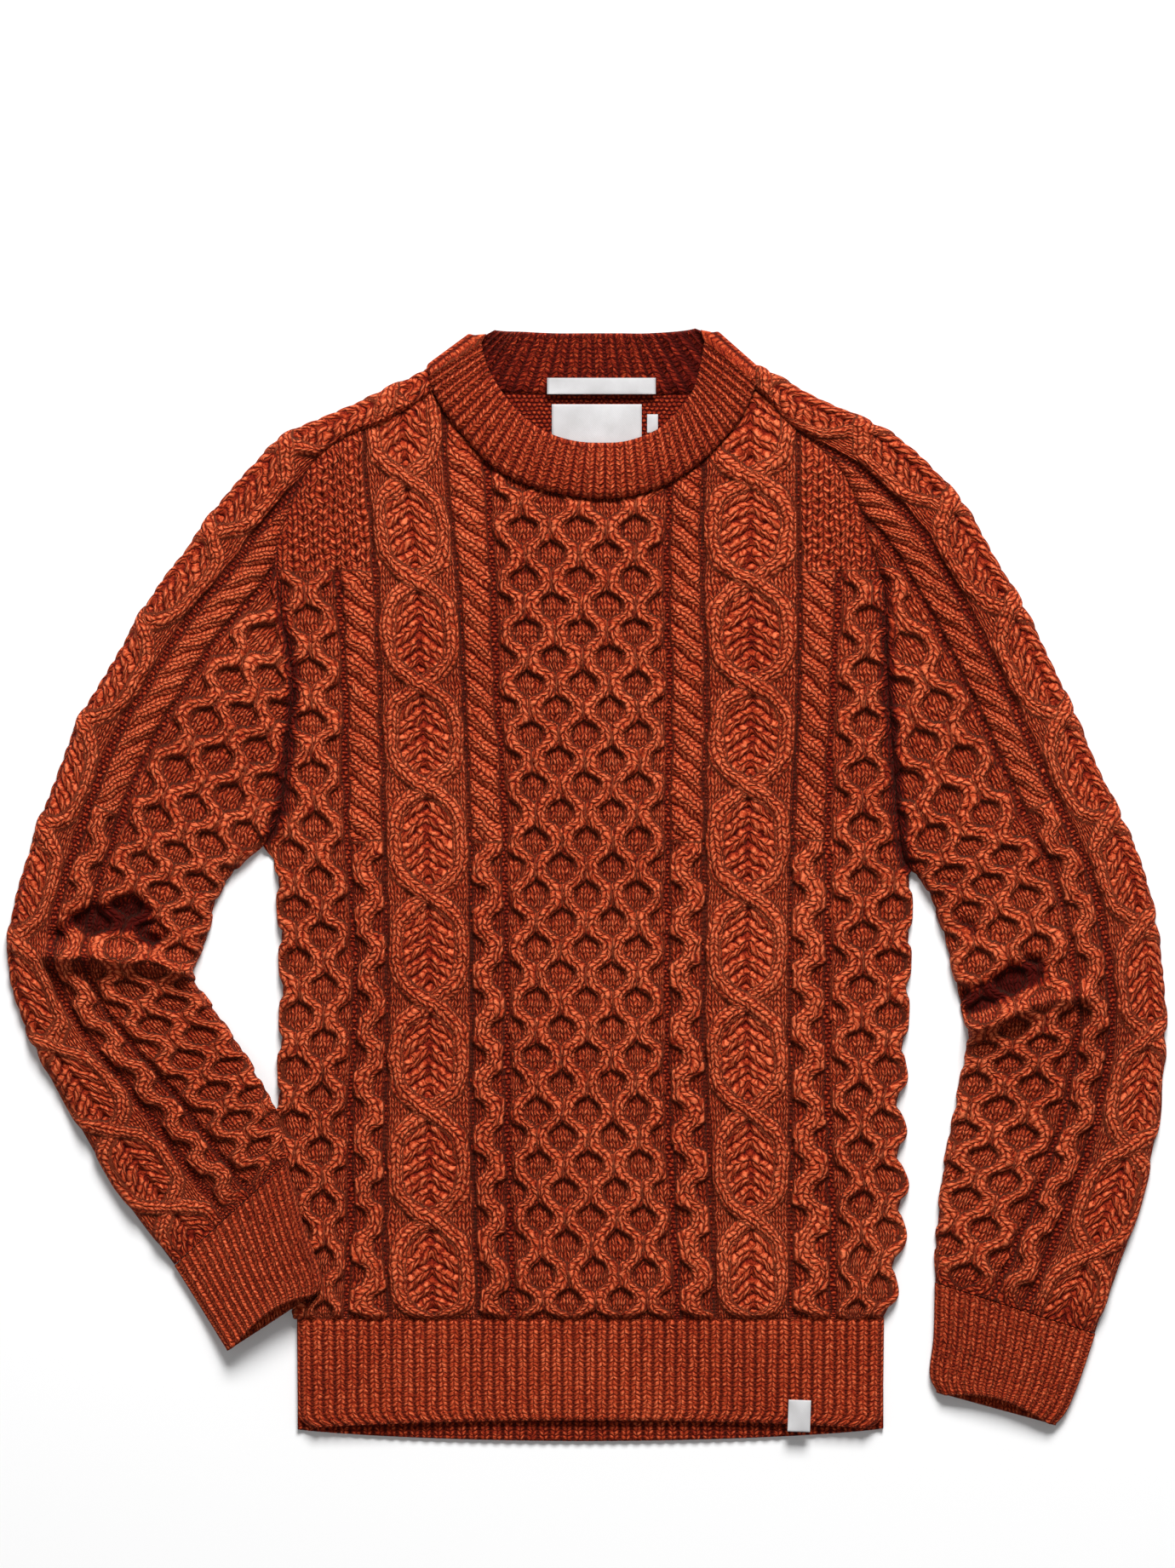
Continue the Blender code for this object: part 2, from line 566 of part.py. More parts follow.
def tube(name, stations, places, lines, relief_at, crown, open_edge, cloth_material, lifted):
    """A sleeve or cuff laid flat: one wall from its seam over the fold and back below.

    lines holds, row by row, how far in from the fold the upper layer's points run, and
    relief_at gives the height there; open_edge is 1 where the seam edge turns down to the
    table and 0 where it is sewn to the body."""
    seam, fold = seam_line(stations, places), fold_line(stations, places)
    width = np.linalg.norm(seam - fold, axis=1)[:, None]
    across = (seam - fold) / width
    turned = open_edge[:, None]
    fold_top = FOLD_IN * np.clip(width / 18, 0, 1)
    reach = fold_top[:, :1] + 0.6
    top = np.clip(lines, reach, width - reach)
    seam_top = width - fold_top[:, ::-1]
    below = np.concatenate((fold_top[:, 2:0:-1], width * np.array(BELOW_PLACES)), axis=1)
    distance = np.concatenate((seam_top, top[:, ::-1], fold_top), axis=1)
    from_seam = width - distance
    face = relief_at(distance)
    x = fold[:, :1] + across[:, :1] * distance
    y = fold[:, 1:] + across[:, 1:] * distance
    loft = crown * np.sin(pi * np.clip(distance / width, 0, 1)) ** 0.8 * turned + bend_height(x, y)
    loft = np.maximum(loft, -0.4) * quarter(distance, 12) * (quarter(from_seam, 12) * turned + 1 - turned)
    inside = FRONT_INSIDE + loft
    centre = (WALL + LAYER_GAP / 2)
    fold_turn = quarter(distance, FOLD_REACH)
    seam_turn = quarter(from_seam, FOLD_REACH) * turned + 1 - turned
    z = inside + WALL + face * quarter(distance, CABLE_FADE)
    z = centre + (z - centre) * fold_turn
    z = WALL + LAYER_GAP + (z - WALL - LAYER_GAP) * seam_turn
    z_in = WALL + LAYER_GAP + (inside - WALL - LAYER_GAP) * np.clip(distance / 4, 0, 1) ** 0.5
    seam_rise = np.clip(from_seam / 4, 0, 1) * turned + 1 - turned
    z_in = WALL + LAYER_GAP + (z_in - WALL - LAYER_GAP) * seam_rise
    distance_in = np.where(distance < FOLD_REACH, WALL + distance / 2, distance)
    near_seam = (from_seam < FOLD_REACH) & (turned > 0)
    distance_in = np.where(near_seam, width - WALL * turned - from_seam * (1 - turned / 2), distance_in)
    z_below = centre * (1 - quarter(below, 4))
    z_in_below = np.full_like(below, WALL)
    in_below = np.where(below < FOLD_REACH, WALL + below / 2, below)
    all_out, all_in = np.concatenate((distance, below), 1), np.concatenate((distance_in, in_below), 1)
    z_out, z_inside = np.concatenate((z, z_below), 1), np.concatenate((z_in, z_in_below), 1)

    def place(away, height):
        px = fold[:, :1] + across[:, :1] * away
        py = fold[:, 1:] + across[:, 1:] * away
        return np.stack((px, py, height + lifted * lift_height(px, py)), axis=2)
    return cloth(name, place(all_in, z_inside), place(all_out, z_out), cloth_material)


def make_sleeve(name, stations, cloth_material, lifted):
    places, rows = sleeve_places(stations, SLEEVE_ROWS)
    rows = np.round(rows / SLEEVE_ROWS) * SLEEVE_ROWS
    middle = smooth([(s.leaf,) for s in stations], places)
    opening = leaf_opening(rows)[:, None]
    out = swing(rows)[:, None]
    inwards = np.concatenate(
        (0 * out, 0.45 * opening, opening, 0 * out + 6.75, 8.5 + 0.9 * out, 10.5 + 0.9 * out,
         0 * out + 12.25, 15 - out, 0 * out + 17, 19 + out, 0 * out + 21, 23 - out, 0 * out + 25,
         27 + out), axis=1)
    open_edge = (places <= underarm(stations) - 0.3).astype(float)

    def relief_at(distance):
        stitch = distance / STITCH - middle
        return sleeve_relief(stitch, rows[:, None] + 0 * stitch) * step(rows, -1, 3)[:, None]
    return tube(name, stations, places, (inwards + middle) * STITCH, relief_at, 1.6,
                open_edge, cloth_material, lifted)


def make_cuff(name, stations, cloth_material, lifted):
    places = np.linspace(0, len(stations) - 1, 5)
    width = np.linalg.norm(seam_line(stations, places) - fold_line(stations, places), axis=1)[:, None]
    first, span = FOLD_REACH + 0.6, width - 2 * FOLD_REACH - 1.2
    lines = first + span * np.arange(2 * CUFF_RIBS + 1) / (2 * CUFF_RIBS)

    def relief_at(distance):
        return 0.1 + CUFF_RIB * (0.5 - 0.5 * np.cos(2 * pi * CUFF_RIBS * (distance - first) / span))
    return tube(name, stations, places, lines, relief_at, 1.6, np.ones(len(places)), cloth_material, lifted)


def hem(x, middle, corner):
    """A hem's height: its corners hang where they are, its middle is pulled."""
    return corner + (middle - corner) * np.clip(1 - (x / 190) ** 2, 0, 1) ** 0.8


def make_welt_front(cloth_material):
    edges = np.arange(2 * WELT_RIBS + 1)
    outer, inner = [], []
    for f in (0, 0.33, 0.67, 1.0):
        left, right = WELT_LEFT + 0.6 * f, WELT_RIGHT - 0.8 * f
        x = left + FOLD_REACH + (right - left - 2 * FOLD_REACH) * edges / edges[-1]
        x = np.concatenate((left + FOLD_IN[:0:-1], x, right - FOLD_IN[1:]))
        rib = np.where(edges % 2 == 1, WELT_RIB, 0.1)
        rib = np.concatenate((np.zeros(3), rib, np.zeros(3)))
        within = np.minimum(x - left, right - x)
        top = WELT_TOP - SEAM_GAP
        y = top + (hem(x, HEM_FRONT, HEM_FRONT_CORNER) - top) * f
        low = WALL + LAYER_GAP
        z = low + (FRONT_INSIDE + WALL + rib - low) * quarter(within, FOLD_REACH)
        z_in = low + (FRONT_INSIDE - low) * np.clip(within / 4, 0, 1)
        within_in = np.where(within < FOLD_REACH, WALL + within / 2, within)
        x_in = np.where(x < 0, left + within_in, right - within_in)
        outer.append(np.stack((x, y, z), axis=1))
        inner.append(np.stack((x_in, y, z_in), axis=1))
    return cloth("welt_front", np.array(inner)[::-1], np.array(outer)[::-1], cloth_material)


def make_welt_back(cloth_material):
    left, right = WELT_LEFT + 0.5, WELT_RIGHT - 0.5
    x = np.linspace(left, right - 0.5, 33)
    top = np.array(((right, WELT_TOP - SEAM_GAP), (left, WELT_TOP - SEAM_GAP)))
    bottom = np.stack((x, hem(x, HEM_BACK, HEM_BACK_CORNER)), axis=1)
    return plate("welt_back", np.concatenate((top, bottom)), WALL, cloth_material)


Section = namedtuple("Section", "seam free centre outward angle raised")
NO_TURN = np.zeros(2)
COLLAR_LOW = COLLAR_WALL / 2                        # middle of the back half
COLLAR_HIGH = COLLAR_LOW + 2 * COLLAR_FOLD          # middle of the front half


def shoulder_turn(fold, side):
    """The band's sections round a shoulder: side 1 turns down at the right, -1 up at the left."""
    seam, free = np.array((fold.seam_x, fold.seam_y)), np.array((fold.free_x, fold.free_y))
    along = (seam - free) / np.linalg.norm(seam - free)
    outward = np.array((-along[1], along[0]))
    outward = outward * np.sign(outward[0]) * side
    angles = np.radians((90, 60, 30, 0, -30, -60, -90)) * side
    return [Section(seam, free, COLLAR_LOW + COLLAR_FOLD, outward, angle, 0) for angle in angles]


def make_collar(cloth_material):
    """The doubled rib band, flat on both sides of the neck and folded at the shoulders."""
    front_seam, front_free = collar_edges(COLLAR_FRONT, 2 * COLLAR_FRONT_RIBS + 1, COLLAR_FLAT_FROM)
    back_seam, back_free = collar_edges(COLLAR_BACK, 2 * COLLAR_BACK_RIBS + 1, COLLAR_FLAT_FROM)
    right, left = COLLAR_FRONT[-1], COLLAR_FRONT[0]
    sections = [Section(s, f, COLLAR_HIGH, NO_TURN, pi / 2, k % 2)
                for k, (s, f) in enumerate(zip(front_seam, front_free))]
    sections += shoulder_turn(right, 1)
    sections += [Section(s, f, COLLAR_LOW, NO_TURN, -pi / 2, k % 2)
                 for k, (s, f) in enumerate(zip(back_seam, back_free))]
    sections += shoulder_turn(left, -1)

    setback = COLLAR_FOLD + COLLAR_WALL / 2
    across = np.array((0.0, 0.93, 1.0))
    fullness = np.array((1.0, 1.0, 0.55))           # the free edge is a soft fold
    outer, inner = [], []
    for seam, free, centre, outward, angle, rib in sections:
        plan = seam + (free - seam) * across[:, None]
        radius = COLLAR_FOLD if outward.any() else 0
        middle = plan - outward * setback + outward * radius * np.cos(angle)
        height = centre + radius * np.sin(angle)
        look = outward * np.cos(angle)
        half = COLLAR_WALL / 2 * fullness
        raised = COLLAR_RIB * rib * (fullness == 1)
        up = np.sin(angle)
        face_out = half + raised * (up > 0.9)
        face_in = half + raised * (up < -0.9)
        outer.append(np.column_stack((middle + look * face_out[:, None], height + up * face_out)))
        inner.append(np.column_stack((middle - look * face_in[:, None], height - up * face_in)))
    outer.append(outer[0])
    inner.append(inner[0])
    return cloth("collar", np.array(inner), np.array(outer), cloth_material, ring=True, plain_limit=1)


def make_label(label, label_material):
    bm = bmesh.new()
    bmesh.ops.create_cube(bm, size=1)
    bmesh.ops.scale(bm, vec=(label.width, label.length, LABEL_WALL), verts=bm.verts)
    turn = radians(label.turn)
    for v in bm.verts:
        x, y = v.co.x, v.co.y
        v.co.x = x * np.cos(turn) - y * np.sin(turn) + label.x
        v.co.y = x * np.sin(turn) + y * np.cos(turn) + label.y
        v.co.z += label.rest + LABEL_WALL / 2
    return finish(label.name, bm, label_material)


# ---------------------------------------------------------------- the garment
for old in list(bpy.data.objects):
    bpy.data.objects.remove(old, do_unlink=True)
garment = bpy.data.collections.new("aran_sweater")
bpy.context.scene.collection.children.link(garment)

wool = material("marled_wool", RUST, 0.95)
ribbing = material("wool_rib", RUST, 0.95)
satin = material("label_satin", LABEL_WHITE, 0.6)

make_front(wool)
make_back(wool)
make_sleeve("sleeve_right", RIGHT_SLEEVE, wool, 0)
make_sleeve("sleeve_left", LEFT_SLEEVE, wool, 1)
make_cuff("cuff_right", RIGHT_CUFF, ribbing, 0)
make_cuff("cuff_left", LEFT_CUFF, ribbing, 1)
make_welt_front(ribbing)
make_welt_back(ribbing)
make_collar(ribbing)
for label in LABELS:
    make_label(label, satin)
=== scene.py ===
# %% [markdown]
# # An aran pullover, laid out flat
#
# This lesson dresses the solid frame of a hand-knitted pullover that lies face up on a table.
# The solids carry its sizes and its largest cables.  The cells below knit fine sheets over them:
# every cable column is worked out from stitches and rows, as on a knitter's chart, so the cords
# cross where the real ones do and follow the cloth wherever it is pulled.
#
# Sizes are in millimetres on the garment, +X to the right of the picture and +Y to the neck,
# and they become metres only when a mesh is made.

# %% Load the frame
from collections import namedtuple
from math import pi, radians

import bmesh
import bpy
import numpy as np
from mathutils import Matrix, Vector


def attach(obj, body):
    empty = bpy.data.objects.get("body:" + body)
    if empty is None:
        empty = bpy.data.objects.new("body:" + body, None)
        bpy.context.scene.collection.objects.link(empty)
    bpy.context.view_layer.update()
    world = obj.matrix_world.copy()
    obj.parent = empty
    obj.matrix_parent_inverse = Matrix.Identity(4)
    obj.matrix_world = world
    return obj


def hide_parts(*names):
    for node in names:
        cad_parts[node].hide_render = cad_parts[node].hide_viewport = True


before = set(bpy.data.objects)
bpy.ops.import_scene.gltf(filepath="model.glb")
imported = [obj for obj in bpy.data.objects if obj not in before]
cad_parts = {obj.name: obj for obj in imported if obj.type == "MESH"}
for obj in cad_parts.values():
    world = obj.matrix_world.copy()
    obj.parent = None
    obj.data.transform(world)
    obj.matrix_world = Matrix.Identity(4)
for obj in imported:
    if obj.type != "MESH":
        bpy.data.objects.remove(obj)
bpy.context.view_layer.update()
MM = 0.001
print("nodes:", ", ".join(sorted(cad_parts)))

# %% [markdown]
# ## Sizes from the knitter's chart
#
# A stitch of the body is about 4.2 mm wide and a row 4.24 mm tall, the gauge of heavy aran wool.
# The front has a honeycomb in the middle, and to each side a narrow cable, a tall leaf cable,
# another narrow cable and more honeycomb, with purl gutters between them.  The table says where
# those gutters lie every sixteen rows, because worn-in cloth is never quite straight.

# %% Sizes of the cloth
WALL = 3.0                       # knitted cloth
FRONT_INSIDE = 4.0               # the front's inner face, over the back panel
GROUND = FRONT_INSIDE + WALL
FOLD = 6.0                       # radius, in plan, of a folded side
UNDER = 0.2                      # the underside, just off the table
ROW = 4.24                       # height of one knitted row
SEAM_LOW, SEAM_HIGH = 2.4, 5.6   # the panels dip to here at the armhole, and along the strap
FINE = 0.25                      # stitches and rows from one point of the front to the next
ROWS_PER_LEVEL = 16
LEVELS = (                       # height, then x of the left fold, eight gutters, the right fold
    (-281, -188, -156, -126, -70, -47, 59, 84, 131, 160, 193),
    (-216, -194, -152, -129, -73, -50, 56, 82, 130, 159, 202),
    (-147, -197, -153, -129, -75, -51, 52, 78, 131, 156, 201),
    (-77, -195, -149, -128, -75, -52, 52, 76, 130, 155, 205),
    (-8, -197, -152, -129, -75, -52, 52, 77, 131, 156, 207),
    (62, -204, -155, -130, -77, -54, 53, 77, 133, 156, 207),
    (128, -206, -156, -133, -80, -58, 53, 78, 136, 159, 208),
    (195, -209, -160, -135, -84, -61, 52, 75, 136, 162, 211),
    (261, -212, -163, -142, -91, -64, 53, 75, 136, 162, 211),
    (327, -214, -166, -145, -94, -65, 53, 75, 136, 162, 211),
)
TOP_ROW = (len(LEVELS) - 1) * ROWS_PER_LEVEL
EDGE_STITCH = 46.75              # from here out the front turns down over its side fold
GUTTERS = (12.75, 18.25, 31.75, 37.25)
LEAF_STITCH, ROPE_STITCH, WAVE_STITCH = 25.0, 15.5, 34.5
ROPE_FROM_ROW = 72               # above it the winding cords are crossed into ropes
SLEEVE_ROPE_FROM_ROW = 86        # the same on a sleeve
MOSS_FROM_ROW = 112              # above it the outer columns are moss stitch
SCALLOP = 2.2                    # how far the side's honeycomb pushes the fold in and out
print("rows of the front:", TOP_ROW)

# %% [markdown]
# ## Sleeves, cuffs and neckband
#
# A sleeve that lies flat is described by two lines: the seam side, along the body, and the
# outer fold.  A row of the table gives a point on each.  A sleeve's rows also say where the
# middle of its leaf runs and which knitted row lies there.  The neckband needs a seam edge and
# a free edge in the same way, once round the front of the neck and once round its back.

# %% Tables of the sleeves, the cuffs and the neckband
RIGHT_SLEEVE = np.array((        # seam x, y; fold x, y; the leaf, in from the fold; knitted row
    (225, -257, 328, -290, 5.0, 5.6),         # cuff seam
    (229, -200, 350, -225, 4.2, 20.2),
    (236, -160, 364, -172, 3.2, 31.9),
    (243, -123, 370, -127, 2.4, 41.7),
    (247, -99, 371.8, -82, 1.9, 51.4),        # elbow
    (240, -68, 368, -40, 1.8, 60.6),
    (229, -25, 358, 8, 1.7, 71.6),
    (218, 1, 343, 43, 1.6, 80.2),
    (204, 19, 328, 75, 1.6, 87.8),            # underarm
    (198, 78, 306, 125, 1.6, 99.5),
    (194, 134, 284, 171, 1.6, 110.2),
    (192, 187, 263, 208, 1.6, 118.9),
    (183, 218, 243, 242, 1.6, 126.9),         # cap
    (174, 246, 218, 271, 1.6, 135),
    (163, 268, 196, 289, 1.6, 141.1),         # strap
    (146, 284, 173, 301, 1.6, 146.6),
    (127, 300, 146, 313, 1.4, 152.9),
    (112, 317, 118, 328, 1.4, 159.7),
    (103, 322, 105, 333, 1.4, 164),           # under the neckband
))
LEFT_SLEEVE = np.array((
    (-193, -179, -266, -246, 4.8, 7.9),       # cuff seam
    (-200, -150, -296, -206, 4.4, 20.3),
    (-211, -128, -317, -172, 3.9, 30.1),
    (-224, -106, -336, -138, 3.0, 39.4),
    (-243, -79, -358, -98, 1.6, 50),
    (-255, -58, -371, -57, 0.6, 59.4),        # elbow
    (-246, -35, -368, -15, 0.2, 68.5),
    (-239, -8, -355, 29, 0.2, 78.4),
    (-224, 13, -341, 67, 0.0, 87.2),
    (-200, 38, -327, 103, 0.0, 95.6),         # underarm
    (-193, 86, -302, 146, 0.0, 106.3),
    (-190, 130, -275, 191, 0.5, 117.7),
    (-198, 180, -255, 217, 1.0, 124.8),
    (-200, 213, -235, 245, 1.0, 132.2),       # cap
    (-189, 246, -214, 269, 1.0, 139.1),
    (-175, 273, -192, 289, 1.0, 145.5),       # strap
    (-153, 289, -163, 302, 1.0, 152.4),
    (-129, 298, -137, 313, 1.0, 158.5),
    (-102, 315, -107, 328, 1.0, 165.8),
    (-95, 320, -99, 332, 1.0, 170),           # under the neckband
))
RIGHT_UNDERARM, LEFT_UNDERARM = 8, 9          # their places in the tables
RIGHT_CUFF = np.array((                       # seam x, y; fold x, y
    (224.8, -257.5, 327.8, -290.5),
    (224, -292, 318, -320),
    (221.5, -316, 309.5, -340),
    (226, -327.5, 302.5, -348.5),             # mouth
))
LEFT_CUFF = np.array((
    (-192.7, -179.4, -265.7, -246.4),
    (-182.8, -218.3, -248.6, -273.6),
    (-171.5, -250, -236.5, -292.5),
    (-171.5, -260.5, -231.5, -300),           # mouth
))
COLLAR_FRONT = np.array((                     # seam x, y; free x, y
    (-104, 332, -68, 358.5),                  # left fold
    (-101, 322, -67, 344),
    (-93, 306, -63, 331),
    (-79, 288, -54, 316),
    (-61, 269, -42, 302),
    (-39, 257, -27, 291.5),
    (-16, 251, -9, 285.5),
    (8, 248, 9, 284),                         # middle of the front
    (30, 250, 27, 285.5),
    (53, 258, 46, 293),
    (73, 271, 59, 305),
    (89, 287, 68, 317),
    (101, 302.5, 72, 329),
    (108, 318, 75, 344),
    (112, 330, 77, 360.9),                    # right fold
))
COLLAR_BACK = np.array((
    COLLAR_FRONT[-1],
    (95, 322, 65, 357),
    (61, 316, 40, 355),
    (28, 315, 21, 355),
    (0, 315, 0, 355),                         # middle of the back
    (-32, 316, -21, 355),
    (-65, 318, -42, 356),
    (-90, 324, -55, 356.5),
    COLLAR_FRONT[0],
))
print("rows of the tables:", len(RIGHT_SLEEVE), len(LEFT_SLEEVE), len(COLLAR_FRONT))

# %% [markdown]
# ## Soft bends
#
# Where an arm of cloth turns, the upper layer buckles into a few creases.  Each is a line with
# a width and a height, and a negative height makes a trough.  The left forearm also climbs on
# to the side of the body, so its points are lifted there.

# %% Bends and the lifted forearm
BENDS = (                                     # both ends' x and y, spread, rise
    (268, -90, 330, -80, 32, 3.0),            # right elbow, puffed
    (287, -58, 251, -77, 9, -15.0),           # its pit
    (244, -28, 250, -30, 6, -3.5),            # a small pit above
    (248, -93, 288, -77, 6.5, 12.0),          # the lip below the pit
    (299, -75, 320, -72, 6, 7.0),             # the same farther out
    (205, 262, 232, 245, 7, -1.0),            # crease in the right cap
    (-335, -48, -275, -58, 32, 3.0),          # left elbow, puffed
    (-318, -25, -290, -21, 9, -15.0),         # its pit
    (-286, -36, -279, -38, 6, -9.0),          # inner end of the pit
    (-332, -24, -341, -35, 5, -7.0),          # outer end
    (-345, -46, -289, -49, 6.5, 12.0),        # the lip below the pit
    (-279, -51, -257, -57, 6, 10.0),          # the same farther in
    (262, -150, 330, -182, 16, -1.2),         # right forearm
    (226, 70, 300, 60, 18, -1.0),             # right upper arm
    (-300, 96, -225, 60, 18, -1.2),           # left upper arm
    (-330, -120, -262, -112, 14, 1.2),        # left forearm
    (-170, -120, -60, -20, 30, 1.0),          # left body
    (60, -150, 170, -60, 28, -0.8),           # right body
    (-120, 160, 120, 175, 34, 0.8),           # chest
    (-150, -215, 160, -222, 22, -0.8),        # waist
)
LIFT = 11.2
LIFT_X_START, LIFT_X_END = -256, -203
LIFT_Y_START, LIFT_Y_END = -78, -140


def step(value, start, end):
    """0 at start, 1 at end, with soft ends."""
    f = np.clip((value - start) / (end - start), 0, 1)
    return f * f * (3 - 2 * f)


def to_segment(x, y, ax, ay, bx, by):
    """How far each point is from the line between two spots, and its nearest spot there."""
    along_x, along_y = bx - ax, by - ay
    f = ((x - ax) * along_x + (y - ay) * along_y) / max(along_x ** 2 + along_y ** 2, 1e-9)
    f = np.clip(f, 0, 1)
    px, py = ax + f * along_x, ay + f * along_y
    return np.hypot(x - px, y - py), px, py


def bend_height(x, y):
    """The cloth's own slow unevenness, and the sum of its soft ridges and troughs."""
    total = 0.5 * np.sin(x / 41 + 0.6 * np.sin(y / 57)) * np.sin(y / 49 + 1.3)
    for *ends, spread, rise in BENDS:
        total = total + rise * np.exp(-(to_segment(x, y, *ends)[0] / spread) ** 2)
    return total


def wobble(x, y, size, seed):
    """Soft random waves between about -1 and 1, roughly size millimetres long."""
    waves = np.random.default_rng(seed).uniform((0, 0.7, 0), (2 * pi, 1.4, 2 * pi), (6, 3))
    return sum(np.sin((x * np.cos(way) + y * np.sin(way)) * 2 * pi / (size * length) + start)
               for way, length, start in waves) / 3


def lift_height(x, y):
    """How far the left forearm and cuff are carried up by the body below them."""
    return LIFT * step(x, LIFT_X_START, LIFT_X_END) * step(y, LIFT_Y_START, LIFT_Y_END)


print("highest lift:", float(lift_height(-190, -200)), "mm")

# %% [markdown]
# ## Curves through the tables
#
# A Catmull-Rom spline runs through every row of a table and bends softly between them.  It is
# the same curve a knitter would draw with a flexible ruler through a few marked points.

# %% Splines, folds and distances
def smooth(points, t):
    """A soft curve through the points, read at t: 0 is the first point, 1 the second."""
    p = np.asarray(points, float)
    last = len(p) - 1
    t = np.clip(np.atleast_1d(np.asarray(t, float)), 0, last)
    i = np.minimum(t.astype(int), last - 1)
    f = (t - i)[:, None]
    a, b = p[np.maximum(i - 1, 0)], p[i]
    c, d = p[i + 1], p[np.minimum(i + 2, last)]
    return 0.5 * (2 * b + (c - a) * f + (2 * a - 5 * b + 4 * c - d) * f ** 2
                  + (3 * b - a - 3 * c + d) * f ** 3)


def two_lines(table, places):
    """Points of both of a table's lines, at these places in it."""
    points = smooth(table, places)
    return points[:, :2], points[:, 2:4]


def quarter(distance, reach):
    """The height, 0 to 1, of a rounded edge at a distance in from it."""
    return np.sqrt(1 - (1 - np.clip(distance / reach, 0, 1)) ** 2)


def beside(*grids):
    """Grids put side by side."""
    return np.concatenate(grids, axis=1)


def run_along(line):
    """The length of a line up to each of its points."""
    return np.append(0, np.cumsum(np.linalg.norm(np.diff(line, axis=0), axis=1)))


def nearest(x, y, line):
    """For every point, its distance to a line of points and the nearest spot on it."""
    best = np.full(x.shape, 1e9), x, y
    for start, end in zip(line[:-1], line[1:]):
        found = to_segment(x, y, *start, *end)
        closer = found[0] < best[0]
        best = tuple(np.where(closer, new, old) for new, old in zip(found, best))
    return best


def inside(x, y, outline):
    """Which points lie inside a closed outline."""
    odd = np.zeros(x.shape, bool)
    for (ax, ay), (bx, by) in zip(outline, np.roll(outline, -1, axis=0)):
        if ay != by:
            odd ^= ((ay > y) != (by > y)) & (x < ax + (y - ay) / (by - ay) * (bx - ax))
    return odd


elbow_seam, elbow_fold = two_lines(RIGHT_SLEEVE, 4)
elbow_width = float(np.linalg.norm(elbow_seam - elbow_fold))
print("width of the right sleeve at the elbow:", round(elbow_width, 1), "mm")

# %% [markdown]
# ## Cords, grounds and gutters
#
# A cable is a pair or more of cords, two stitches wide, that are crossed over each other.  Each
# point of the cloth therefore needs four things: how high it stands, which stitch it is across
# the cord, which row along it, and whether a purl bump is seen there.  The last three are kept
# for the material, so that the little Vs of the knitting run along every cord and not straight
# up the cloth.  A cord keeps its width where it leans over, so it is measured square to its way.
# Where two cords meet, the higher one is seen.

# %% Knitting as heights with stitches
Knit = namedtuple("Knit", "high across along purled")
Path = namedtuple("Path", "middle lean run")
PATH_STEP = 0.125
PATH_ROWS = np.arange(-16, 200, PATH_STEP)
CORD_HALF = 0.98                     # half a cord's width in stitches
STRANDS = 0.64                       # a cord's own stitches for each of the chart's
GUTTER_HIGH = -0.6
NOWHERE = -9                         # the height of a cord outside its width


def path(middle):
    """A cord's way up the rows: its stitch, its move aside in a row, and its own length."""
    lean = np.gradient(middle, PATH_ROWS)
    return Path(middle, lean, np.cumsum(np.sqrt(1 + lean ** 2)) * PATH_STEP)


def swinging(reach, snap, shift=0.0):
    """Out and back once in eight rows; a higher snap crosses faster and rests longer."""
    swing = np.cos(pi * (PATH_ROWS - shift) / 4)
    return path(reach * np.tanh(snap * swing) / np.tanh(snap))


def knitting(high, across, along, purled=0.0):
    """The four numbers of every point, as grids of one shape."""
    return Knit(*np.broadcast_arrays(high, across, along, purled))


def column(stitch, row, half, high):
    """Plain knitting as wide as a cable's column, with purl gutters beside it."""
    share = 1 - step(np.abs(stitch), half - 0.35, half + 0.05)
    return knitting(GUTTER_HIGH + (high - GUTTER_HIGH) * share, stitch, row, 1.0 * (share < 0.5))


def cord(stitch, row, way, rest, side, high, half):
    """A rounded cord that follows a way about the stitch where it rests."""
    middle, lean, run = (np.interp(row, PATH_ROWS, part) for part in way)
    slant = np.sqrt(1 + lean ** 2)
    off = stitch - rest - side * middle
    across = off / (half * slant)
    top = np.sqrt(np.clip(1 - across ** 2, 0, 1)) ** 0.65
    return knitting(np.where(np.abs(across) < 1, high * top, NOWHERE),
                    STRANDS * off / slant, run + side * off * lean / slant)


def highest(*layers):
    """The layer that is seen at each point."""
    top = layers[0]
    for layer in layers[1:]:
        wins = layer.high > top.high
        top = Knit(*(np.where(wins, new, old) for new, old in zip(layer, top)))
    return top


def chosen(tests, knits, other):
    """Picks one of several stitch patterns for each point."""
    return Knit(*(np.select(tests, parts[:-1], parts[-1]) for parts in zip(*knits, other)))


def mixed(low, high, share):
    """Fades from one pattern to the next, row by row."""
    rest = (np.where(share > 0.5, b, a) for a, b in zip(low[1:], high[1:]))
    return Knit(low.high + (high.high - low.high) * share, *rest)


print("a cord is", round(2 * CORD_HALF * ROW, 1), "mm wide")

# %% [markdown]
# ## The stitch patterns
#
# **Honeycomb**: cords swing out and back every eight rows, neighbours in opposite ways, and
# leave a cell where they part.  **Wave**: one broad cord swings alone.  **Rope**: two crossed
# cords show as leaning lobes.  **Leaf**: two cords part for sixteen rows round a veined leaf and
# cross again.  **Moss**: knit and purl take turns.

